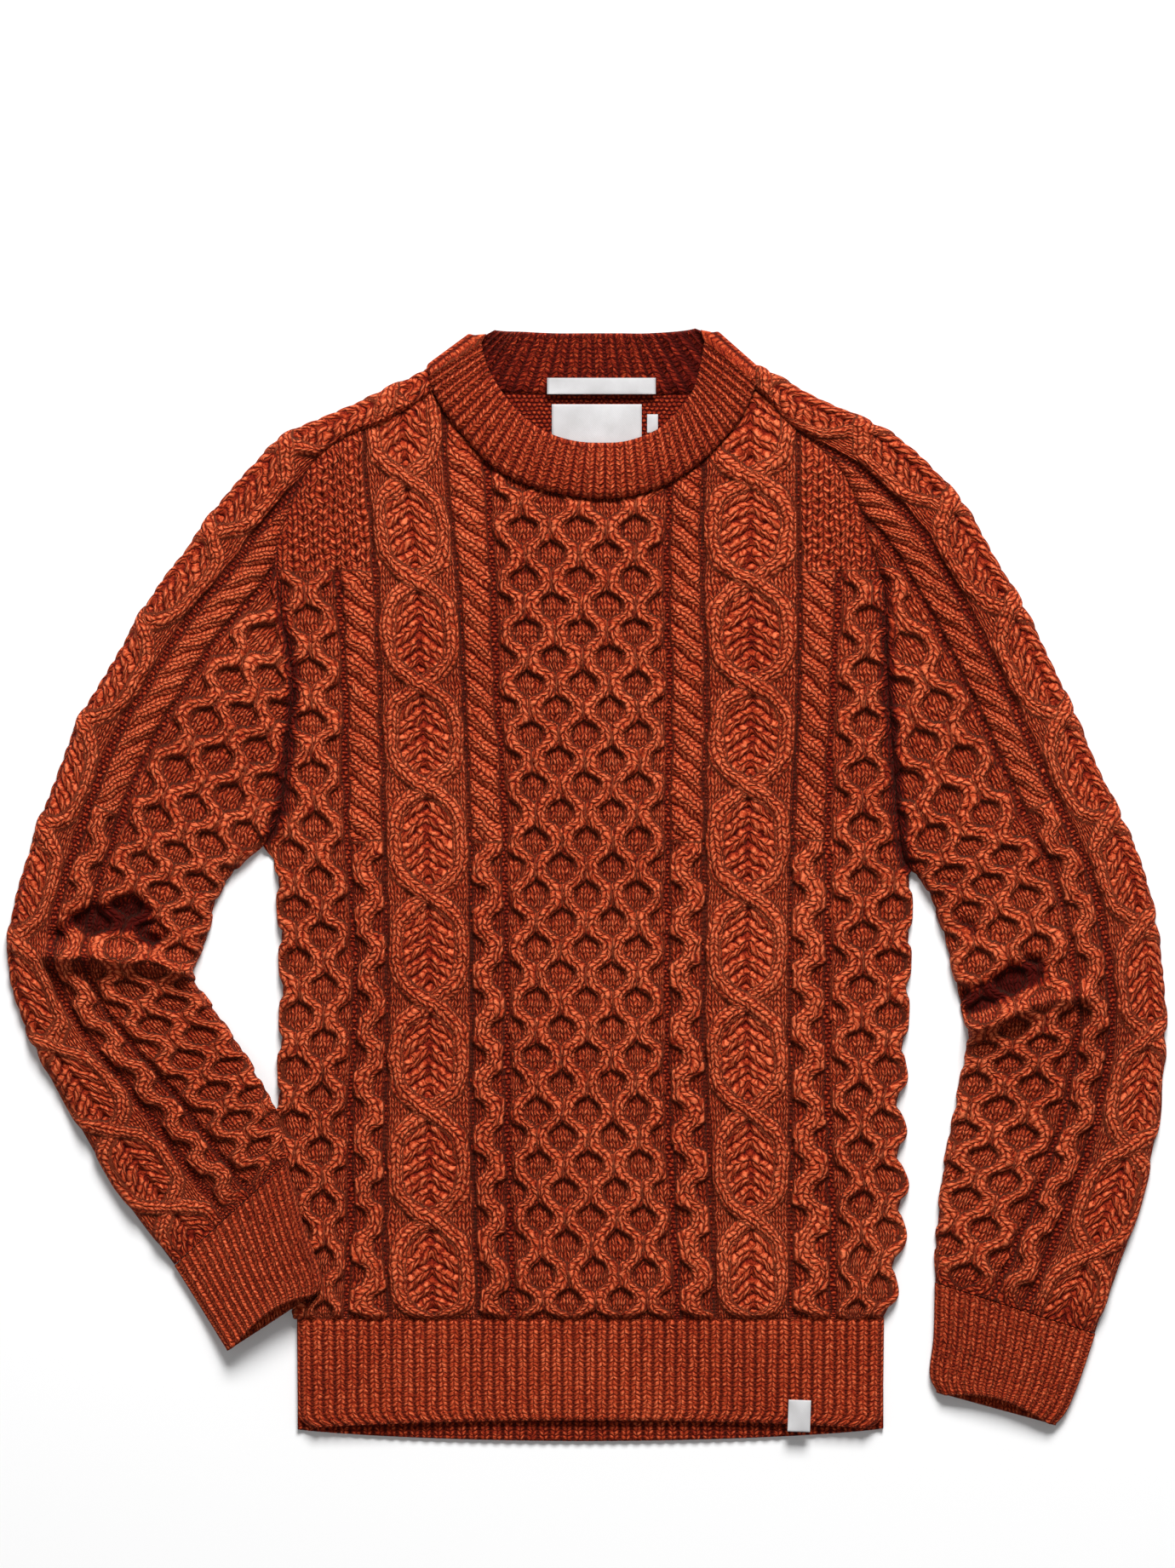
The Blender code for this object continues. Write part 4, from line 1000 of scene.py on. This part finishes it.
def sleeve_piece(name, table, start, lifted):
    """Sleeve and strap; start is the underarm's place in the table."""
    places, from_cuff = even_places(table)
    middle, rows = smooth(table, places)[:, 4:].T[:, :, None]
    open_seam = 1 - step(places, start - 0.55, start - 0.1)

    def chart(distance):
        off = distance - middle * LEAF_UNIT
        inwards = np.where(off < WIDE_FROM, off / NARROW, WIDE_STITCH + (off - WIDE_FROM) / WIDE)
        knit = sleeve_chart(*by_hand(inwards, rows))
        return knit._replace(high=knit.high * step(from_cuff, -0.5, 5)[:, None])

    sheet = tube_points(table, places, chart, open_seam, 1.6, lifted, 88)
    piece = make_sheet(name, sheet, cable_wool, turn_over=bool(lifted), weld=True)
    return piece


sleeve_right = sleeve_piece("sleeve_right_knit", RIGHT_SLEEVE, RIGHT_UNDERARM, 0)
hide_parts("sleeve_right")
sleeve_left = sleeve_piece("sleeve_left_knit", LEFT_SLEEVE, LEFT_UNDERARM, 1)
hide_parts("sleeve_left")

# %% [markdown]
# ## Ribbing
#
# One by one rib is a column of knit stitches, which stands up, and a column of purl, which
# sinks.  It pulls the cloth in and hugs the wrist, the hips and the neck.  A rib's height is a
# wave across the cloth, and the V of the knit column sits on its crest.  Where a ribbed edge
# ends, its rim turns in and runs back a little inside.

# %% Ribbed cloth
RIB_HIGH = 1.7
RIB_ROW = 3.0
RIM_STEPS = 6


def ribbing(ribs, millimetres, high=RIB_HIGH):
    """Ribs counted across, and the length run along them."""
    crest = (0.5 + 0.5 * np.cos(2 * pi * ribs)) ** 0.6
    return knitting(high * crest, ribs + 0.5, millimetres / RIB_ROW, 1.0 * (crest < 0.2))


def shade_ribs(sheet, high, highest_rib=RIB_HIGH):
    """Painted shade for ribs: they are shallower than cables, so their valleys are darkened by
    their own height.
    """
    return sheet._replace(hollow=np.clip(0.25 + 0.7 * high / highest_rib, 0, 1))


def rim_after(count):
    """For count rows of cloth and a rim: its share, the angle it has turned, its run inside."""
    turn = np.append(np.zeros(count), np.linspace(0, 1, RIM_STEPS + 1)[1:])[:, None]
    return turn, pi * np.clip(turn * 2, 0, 1), np.clip(turn * 2 - 1, 0, 1)


print("ribbed rows to 10 cm:", round(100 / RIB_ROW))

# %% [markdown]
# ## Cuffs
#
# The cuffs are short ribbed tubes.  Their open ends show the cloth's thickness and a dark
# inside, so the upper layer ends a little short of the lower one and turns in there.

# %% The two cuffs
CUFF_RIBS, CUFF_ROWS, CUFF_TOPS = 16, 64, 100
MOUTH_ROWS, RIM_LENGTH = 13, 24            # the last rows give the way out of the mouth


def cuff_piece(name, table, lifted):
    """The tube, then its rim, which turns in and runs back inside."""
    last = len(table) - 1
    places = np.append(np.linspace(0, last, CUFF_ROWS), np.full(RIM_STEPS, last))
    turn, angle, inner = rim_after(CUFF_ROWS)
    seam, fold = two_lines(table, places)
    width = np.linalg.norm(seam - fold, axis=1)[:, None]
    middle = (seam + fold) / 2
    run = run_along(middle)[:, None]
    outwards = middle[CUFF_ROWS - 1] - middle[CUFF_ROWS - 1 - MOUTH_ROWS]
    outwards = outwards / np.linalg.norm(outwards)

    def chart(distance):
        knit = ribbing(CUFF_RIBS * distance / width, run + RIM_LENGTH * turn)
        return knit._replace(high=knit.high * (1 - 0.8 * turn))

    def rim(x, y, z, tops, arc):
        """The upper layer gapes and ends short; both layers turn in."""
        point = np.arange(z.shape[1])
        on_top = 1.0 * ((point >= arc // 2) & (point < arc + tops + arc // 2))
        bulge = np.sin(pi * np.clip((point - arc) / tops, 0, 1)) * on_top
        bulge = bulge * step(places, last - 1.6, last)[:, None]
        drop = (2.6 * on_top - 2.2 * (1 - on_top)) * (1 - np.cos(angle)) / 2
        out = 1.2 * np.sin(angle) - (14 - 5 * on_top) * inner - 7.0 * bulge
        return x + outwards[0] * out, y + outwards[1] * out, z - drop + 2.4 * bulge

    sheet = tube_points(table, places, chart, np.ones(len(places)), 1.8, lifted, CUFF_TOPS, rim)
    crest = (0.5 - 0.5 * np.cos(2 * pi * sheet.across)) ** 0.6
    piece = make_sheet(name, shade_ribs(sheet, crest, 1.0), rib_wool,
                       turn_over=bool(lifted), weld=True)
    return piece


cuff_right = cuff_piece("cuff_right_rib", RIGHT_CUFF, 0)
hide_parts("cuff_right")
cuff_left = cuff_piece("cuff_left_rib", LEFT_CUFF, 1)
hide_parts("cuff_left")

# %% [markdown]
# ## The hem
#
# The welt is a wide ribbed band.  The front layer is pulled up a little in the middle, so the
# inside of the back layer shows below it as a dark edge, its wool painted darker as shade.

# %% Front and back of the welt
WELT_TOP, WELT_RIBS, WELT_ROWS = -281.0, 50, 58
HEM_FRONT, HEM_FRONT_CORNER = -345.0, -351.0
HEM_BACK, HEM_BACK_CORNER = -360.0, -352.0
WELT_LEFT, WELT_RIGHT = -187.0, 192.0
RIB_WIDTH = 7.4                            # round the welt's side folds
BACK_RIB_HIGH = 1.1


def hem(x, middle, corner):
    """A hem's height: its corners hang where they are, its middle is pulled."""
    return corner + (middle - corner) * np.clip(1 - (x / 190) ** 2, 0, 1) ** 0.8


def welt_front_points():
    """The upper layer with its side folds, and the rim at the hem."""
    flat = np.linspace(0, 1, 8 * WELT_RIBS + 1)
    share = np.append(np.linspace(0, 1, WELT_ROWS), np.ones(RIM_STEPS))[:, None]
    turn, angle, inner = rim_after(WELT_ROWS)
    corner = 7 * np.clip((share - 0.86) / 0.14, 0, 1) ** 2.5
    left, right = WELT_LEFT + 0.6 * share + corner, WELT_RIGHT - 0.8 * share - corner
    ones, arcs = np.ones((len(share), len(flat))), ARC + 0 * share
    inwards, high, _, up = turned_edge(GROUND, arcs)
    stand, arc_ribs = np.maximum(up, 0), arcs * pi * FOLD / RIB_WIDTH
    x = beside((left + inwards)[:, ::-1], left + FOLD + (right - left - 2 * FOLD) * flat,
               right - inwards)
    ribs = beside(-arc_ribs[:, ::-1], WELT_RIBS * flat * ones, WELT_RIBS + arc_ribs)
    stands = beside(stand[:, ::-1], ones, stand)
    base = beside(high[:, ::-1], GROUND * ones, high)
    knit = ribbing(ribs, (WELT_TOP - HEM_FRONT) * share + 10 * turn)
    rib_high = knit.high
    fade = (1 - 0.6 * np.clip(turn * 2, 0, 1)) * (0.3 + 0.7 * step(share, 0, 0.05))
    knit = knit._replace(high=rib_high * fade)
    y = WELT_TOP + (hem(x, HEM_FRONT, HEM_FRONT_CORNER) - WELT_TOP) * share
    y = y - 1.3 * np.sin(angle) + 8 * inner
    waves = 0.5 * np.sin(x / 23 + 0.8) * step(share, 0.3, 1) * stands
    z = knit.high + waves + bend_height(x, y) * (1 - share) + 0.5 * step(share, 0.6, 1)
    z = base + z * stands - 1.26 * (1 - np.cos(angle)) * stands
    return shade_ribs(sheet_from(x, y, z, knit), rib_high)


def welt_back_points():
    """Round the band's lower edge: inside face, rim, and the face that lies on the table."""
    left, right = WELT_LEFT + 0.5, WELT_RIGHT - 0.5
    x = np.linspace(left, right, 6 * WELT_RIBS + 1)
    low = hem(x, HEM_BACK, HEM_BACK_CORNER) + 1.4
    back = np.linspace(1, 0, 14)[:, None]
    rim = np.linspace(0, pi, 7)[1:-1, None]
    under = np.linspace(0, 1, 26)[:, None]
    y = np.concatenate((low + 24 * back, low - 1.4 * np.sin(rim), low + (WELT_TOP - low) * under))
    z = np.concatenate((2.9 + 0 * back, 1.55 + 1.35 * np.cos(rim), UNDER + 0 * under))
    top = np.concatenate((1 + 0 * back, np.linspace(1, 0, 5)[:, None], 0 * under))
    knit = ribbing(WELT_RIBS * (x - left) / (right - left), y, BACK_RIB_HIGH)
    z = z + knit.high * top * 0.8 + (1 - top) * (BACK_RIB_HIGH - knit.high) * 0.3
    return shade_ribs(sheet_from(x + 0 * y, y, z, knit), knit.high, BACK_RIB_HIGH)


welt_front = make_sheet("welt_front_rib", welt_front_points(), rib_wool, turn_over=True)
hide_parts("welt_front")
welt_back = make_sheet("welt_back_rib", welt_back_points(), inner_wool_shaded, turn_over=True)
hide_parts("welt_back")

# %% [markdown]
# ## The neckband
#
# The band is knitted twice as wide as it looks and folded in half, so it is thick and its free
# edge is round.  It stands over the front and dips to its seam.  At the shoulders it is folded
# flat, and from there its inside shows round the back of the neck, darker and in the shade.

# %% Points of the neckband
COLLAR_WALL, COLLAR_FOLD, COLLAR_FLAT_FROM = 5.0, 3.0, 0.7
FRONT_RIBS, BACK_RIBS, FOLD_RIBS = 38, 20, 2
COLLAR_RIB_HIGH, COLLAR_WIDTH = 2.0, 37    # width in millimetres, from seam to free edge
COLLAR_LOW = COLLAR_WALL / 2
COLLAR_MIDDLE, COLLAR_HIGH = COLLAR_LOW + COLLAR_FOLD, COLLAR_LOW + 2 * COLLAR_FOLD
EDGE_SHARE = 0.93                          # beyond it the free edge is round
# A section of the band is a row of numbers: seam x, y; free x, y; height of its middle; the
# way out of a shoulder fold, x and y; the angle it has turned; its rib.


def flat_sections(table, count, height, angle, first_rib, ribs):
    """The band's sections round the front or the back of the neck."""
    places = np.linspace(COLLAR_FLAT_FROM, len(table) - 1 - COLLAR_FLAT_FROM, count)
    return [(*points, height, 0, 0, angle, first_rib + ribs * k / (count - 1))
            for k, points in enumerate(smooth(table, places))]


def fold_sections(ends, side, first_rib):
    """The sections that turn over at a shoulder."""
    seam, free = ends[:2], ends[2:]
    along = (seam - free) / np.linalg.norm(seam - free)
    out = np.array((-along[1], along[0]))
    out = out * np.sign(out[0]) * side
    angles = np.radians(np.linspace(90, -90, 17)) * side
    return [(*seam, *(free + (seam - free) * 0.16 * np.cos(a)), COLLAR_MIDDLE, *out, a,
             first_rib + FOLD_RIBS * k / 16) for k, a in enumerate(angles)]


def band_across():
    """From the seam over the outer face, the free edge and the inner face: share of the width,
    face looked at (1 is outer), and run of the cloth in widths."""
    start, outer, turn = np.zeros(4), np.linspace(0, EDGE_SHARE, 30), np.linspace(0, pi, 11)[1:-1]
    over, back = EDGE_SHARE + (1 - EDGE_SHARE) * np.sin(turn), 2 - EDGE_SHARE
    share = start, outer, over, np.linspace(EDGE_SHARE, 0, 24)
    face = np.linspace(-0.6, 1, 5)[:-1], np.ones(30), np.cos(turn), -np.ones(24)
    run = start, outer, np.linspace(EDGE_SHARE, back, 9), np.linspace(back, 2, 24)
    return [np.concatenate(parts) for parts in (share, face, run)]


def collar_points():
    """The whole band, once round the neck and closed."""
    rib = FRONT_RIBS
    sections = flat_sections(COLLAR_FRONT, 340, COLLAR_HIGH, pi / 2, 0, rib)
    sections += fold_sections(COLLAR_FRONT[-1], 1, rib)
    rib += FOLD_RIBS
    sections += flat_sections(COLLAR_BACK, 190, COLLAR_LOW, -pi / 2, rib, BACK_RIBS)
    rib += BACK_RIBS
    sections += fold_sections(COLLAR_FRONT[0], -1, rib)
    sections.append((*sections[0][:-1], rib + FOLD_RIBS))
    table = np.array(sections)
    seam_x, seam_y, free_x, free_y, middle, out_x, out_y, angle, ribs = table.T[:, :, None]
    across, face, run = band_across()
    knit = ribbing(ribs, COLLAR_WIDTH * run, COLLAR_RIB_HIGH)
    seam_dip = 1 - 0.55 * np.exp(-(across * COLLAR_WIDTH / 2.2) ** 2)
    stands = face * (COLLAR_LOW * seam_dip + knit.high * step(across, -0.02, 0.05) * 0.8)
    turned = (out_x ** 2 + out_y ** 2 > 0).astype(float)
    radius = COLLAR_FOLD * turned
    bow = 2.6 * np.sin(pi * np.clip(across, 0, 1)) * (angle > 1.5)
    aside = (radius + stands) * np.cos(angle) - COLLAR_MIDDLE
    x = seam_x + (free_x - seam_x) * across + out_x * aside
    y = seam_y + (free_y - seam_y) * across + out_y * aside
    z = middle + radius * np.sin(angle) + stands * np.sin(angle) + bow * (1 - turned)
    sheet = shade_ribs(sheet_from(x, y, np.maximum(z, UNDER), knit), knit.high, COLLAR_RIB_HIGH)
    # Painted shade: the ribs' valleys are darker still, and the band's inside round the back of the
    # neck is darker, most of all towards the shoulders.
    painted_shade_behind = step(-angle, 0.2, 1.4) * (0.55 + 0.45 * step(np.abs(x), 30, 70))
    return sheet._replace(hollow=1.25 * sheet.hollow - 0.25 - 1.0 * painted_shade_behind)


collar = make_sheet("neckband_rib", collar_points(), rib_wool, weld=True)
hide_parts("collar")

# %% [markdown]
# ## The back
#
# The back lies on the table.  Its cables are pressed flat there, so the underside keeps only
# shallow grooves between them.  A second small sheet is the inside of the back panel, which
# shows through the neck: the reverse of the knitting, all purl bumps.

# %% Underside and inside of the back
BACK_EDGE, BACK_ROWS, BACK_POINTS = 49, 0.6, 190
PATCH_STEP, PATCH_STITCH, PATCH_TOP = 1.2, 4.2, 322


def back_points():
    """The underside, as wide as the body less the side folds' own undersides."""
    row = np.arange(0, TOP_ROW + 0.1, BACK_ROWS)[:, None]
    level = smooth(LEVELS, row[:, 0] / ROWS_PER_LEVEL)
    flat = np.linspace(-BACK_EDGE, BACK_EDGE, BACK_POINTS)
    x = panel_x(level, level[:, 1:2] + 3, level[:, 10:] - 3, BACK_EDGE, flat)
    knit = front_chart(flat + 0 * x, row + 0 * x)
    z = UNDER + 0.9 * np.clip(1 - knit.high / 2.5, 0, 1)
    return sheet_from(x, level[:, :1] + 0 * x, z, knit)


NECK_BACK = neck_line(COLLAR_BACK)
BACK_CUT, BACK_OUTLINE = body_outline(NECK_BACK)
under, under_kept, _ = cut_sheet(back_points(), BACK_OUTLINE, BACK_CUT)
back_under = make_sheet("back_underside", under, cable_wool, under_kept, turn_over=True)
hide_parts("back")


def neck_patch():
    """The reverse of the knitting, seen through the neck."""
    x, y = np.meshgrid(np.arange(-92, 100, PATCH_STEP), np.arange(262, 330, PATCH_STEP))
    stitch, row = x / PATCH_STITCH, y / ROW
    bumps = np.cos(2 * pi * row + pi * np.floor(stitch)) * np.cos(pi * stitch)
    knit = knitting(0.9 + 0.45 * bumps, stitch, row, 1.0)
    return sheet_from(x, y, 2.9 + 0.5 * knit.high, knit)


patch, patch_kept, _ = cut_sheet(neck_patch(), BACK_OUTLINE, NECK_BACK)
# The inside of the back shows through the neck painted darker as shade.
back_inside = make_sheet("back_neck_inside", patch, inner_wool_shaded, patch_kept & (patch.y < PATCH_TOP))
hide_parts("back")

# %% [markdown]
# ## Labels
#
# Woven satin labels: a long one on the band's seam, a wide one below it with a size tab beside
# it, and a small folded one on the hem.  All are left bare.  Satin is smooth along its floats,
# so the material has fine ribs one way and a soft sheen.

# %% Satin and its labels
SATIN_STOPS = ((0.2, (0.48, 0.47, 0.47)), (0.55, (0.58, 0.57, 0.575)), (0.9, (0.66, 0.655, 0.66)))


def label_satin():
    """Fine floats on a slant, crossed by finer picks."""
    made, tree, shader = new_material("label_satin")
    place = on_garment(tree)
    x, y, _ = (Number(s) for s in add_node(tree, "ShaderNodeSeparateXYZ", {0: place}).outputs)
    floats, picks = maths("SINE", (x + y) * 7000.0), maths("SINE", y * 12000.0)
    weave = floats * 0.5 + picks * 0.5
    tone = maths("ADD", weave * 0.10, noise(tree, place, 60.0, 3.0), clamp=True)
    bump = add_node(tree, "ShaderNodeBump", {"Strength": 0.5, "Distance": 0.00015, "Height": weave})
    fill(shader, {"Base Color": ramp(tree, tone, SATIN_STOPS), "Normal": bump.outputs[0],
                  "Roughness": 0.42, "Sheen Weight": 0.25})
    return made


satin = label_satin()
RIBBON = 0.45                              # thickness of a label
Label = namedtuple("Label", "name node sewn_to x y width length turn rest curl")
LABELS = (
    Label("label_long", "neck_label_long", "neckband_rib", 9.5, 320.5, 70, 10.5, 0, 7.6, 0.5),
    Label("label_wide", "neck_label_main", "back_neck_inside", 6.5, 293.0, 58, 32, 0, 4.3, 0.9),
    Label("label_size", "size_tab", "back_neck_inside", 42.5, 296.5, 7, 12, 0, 4.3, 0.5),
    Label("label_hem", "hem_label", "welt_front_rib", 137.0, -343.0, 14.5, 20.5, -2, 9.6, 0.8),
)


def label_piece(label):
    """A thin strip with rounded edges, a little wavy, closed all round."""
    bm = bmesh.new()
    bmesh.ops.create_grid(bm, x_segments=36, y_segments=24, size=0.5)
    bmesh.ops.scale(bm, vec=(label.width * MM, label.length * MM, 1), verts=bm.verts)
    grown = bmesh.ops.extrude_face_region(bm, geom=bm.faces[:])["geom"]
    upper_verts = [g for g in grown if isinstance(g, bmesh.types.BMVert)]
    bmesh.ops.translate(bm, vec=(0, 0, RIBBON * MM), verts=upper_verts)
    bmesh.ops.recalc_face_normals(bm, faces=bm.faces)
    over, up = np.cos(radians(label.turn)), np.sin(radians(label.turn))
    for v in bm.verts:
        x, y, z = v.co / MM
        edge = max(abs(x) / label.width, abs(y) / label.length) * 2
        wave_high = 0.5 * np.sin(x / label.width * 5 + 0.7) * np.cos(y / label.length * 3)
        z += label.rest + 0.4 + label.curl * (wave_high - 0.35 * edge ** 6)
        v.co = (label.x + x * over - y * up, label.y + x * up + y * over, z)
        v.co *= MM
    for face in bm.faces:
        face.smooth = abs(face.normal.z) > 0.5
    piece = finish_mesh(bm, label.name, satin)
    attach(piece, "root")
    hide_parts(label.node)
    max(label.width, 10) * MM
    return piece


labels = [label_piece(label) for label in LABELS]
print("labels:", [p.name for p in labels])

# %% [markdown]
# ## Floor, light and camera
#
# The picture looks straight down, so the camera hangs above the garment with its top towards
# the neck.  A long lens from far away keeps the outline free of perspective.  One large soft
# light stands beyond the neck and a weaker one opposite, over a bright pale floor, which gives
# every cord a lit upper edge and a shaded lower one.

# %% The pale floor
bm = bmesh.new()
bmesh.ops.create_grid(bm, x_segments=4, y_segments=4, size=4.0)
pale, _, pale_shader = new_material("pale_floor")
fill(pale_shader, {"Base Color": (0.95, 0.95, 0.95, 1), "Roughness": 0.9})
floor = finish_mesh(bm, "floor", pale)

# %% Lights
def soft_light(name, place, power, size=2.0):
    """A square area light that looks at the middle of the garment."""
    data = bpy.data.lights.new(name, "AREA")
    data.shape, data.size, data.energy = "SQUARE", size, power
    light = bpy.data.objects.new(name, data)
    light.location = place
    light.rotation_mode = "QUATERNION"
    light.rotation_quaternion = (-Vector(place)).to_track_quat("-Z", "Y")
    bpy.context.scene.collection.objects.link(light)
    return light


soft_light("key", (0.6, 4.0, 3.4), 420)
soft_light("fill", (-0.6, -1.6, 3.0), 12)
world = bpy.data.worlds.new("studio")
world.use_nodes = True
fill(world.node_tree.nodes["Background"], {"Color": (1, 1, 1, 1), "Strength": 0.16})
bpy.context.scene.world = world
bpy.context.scene.view_settings.view_transform = "Standard"
print("lights:", [light.name for light in bpy.data.lights])

# %% Camera
PIXEL = 0.55 * MM                        # one pixel of the picture on the garment
PICTURE_WIDTH, PICTURE_HEIGHT = 1380, 1841
ORIGIN_X, ORIGIN_Y = 689, 1037           # the pixel over the garment's origin
CAMERA_HEIGHT, SENSOR = 4.0, 36.0
lens = bpy.data.cameras.new("camera")
lens.sensor_width = SENSOR
lens.lens = SENSOR * CAMERA_HEIGHT / (PICTURE_HEIGHT * PIXEL)
camera = bpy.data.objects.new("camera", lens)
camera.location = ((PICTURE_WIDTH / 2 - ORIGIN_X) * PIXEL,
                   (ORIGIN_Y - PICTURE_HEIGHT / 2) * PIXEL, CAMERA_HEIGHT)
bpy.context.scene.collection.objects.link(camera)
bpy.context.scene.camera = camera
print("lens:", round(lens.lens, 1), "mm")
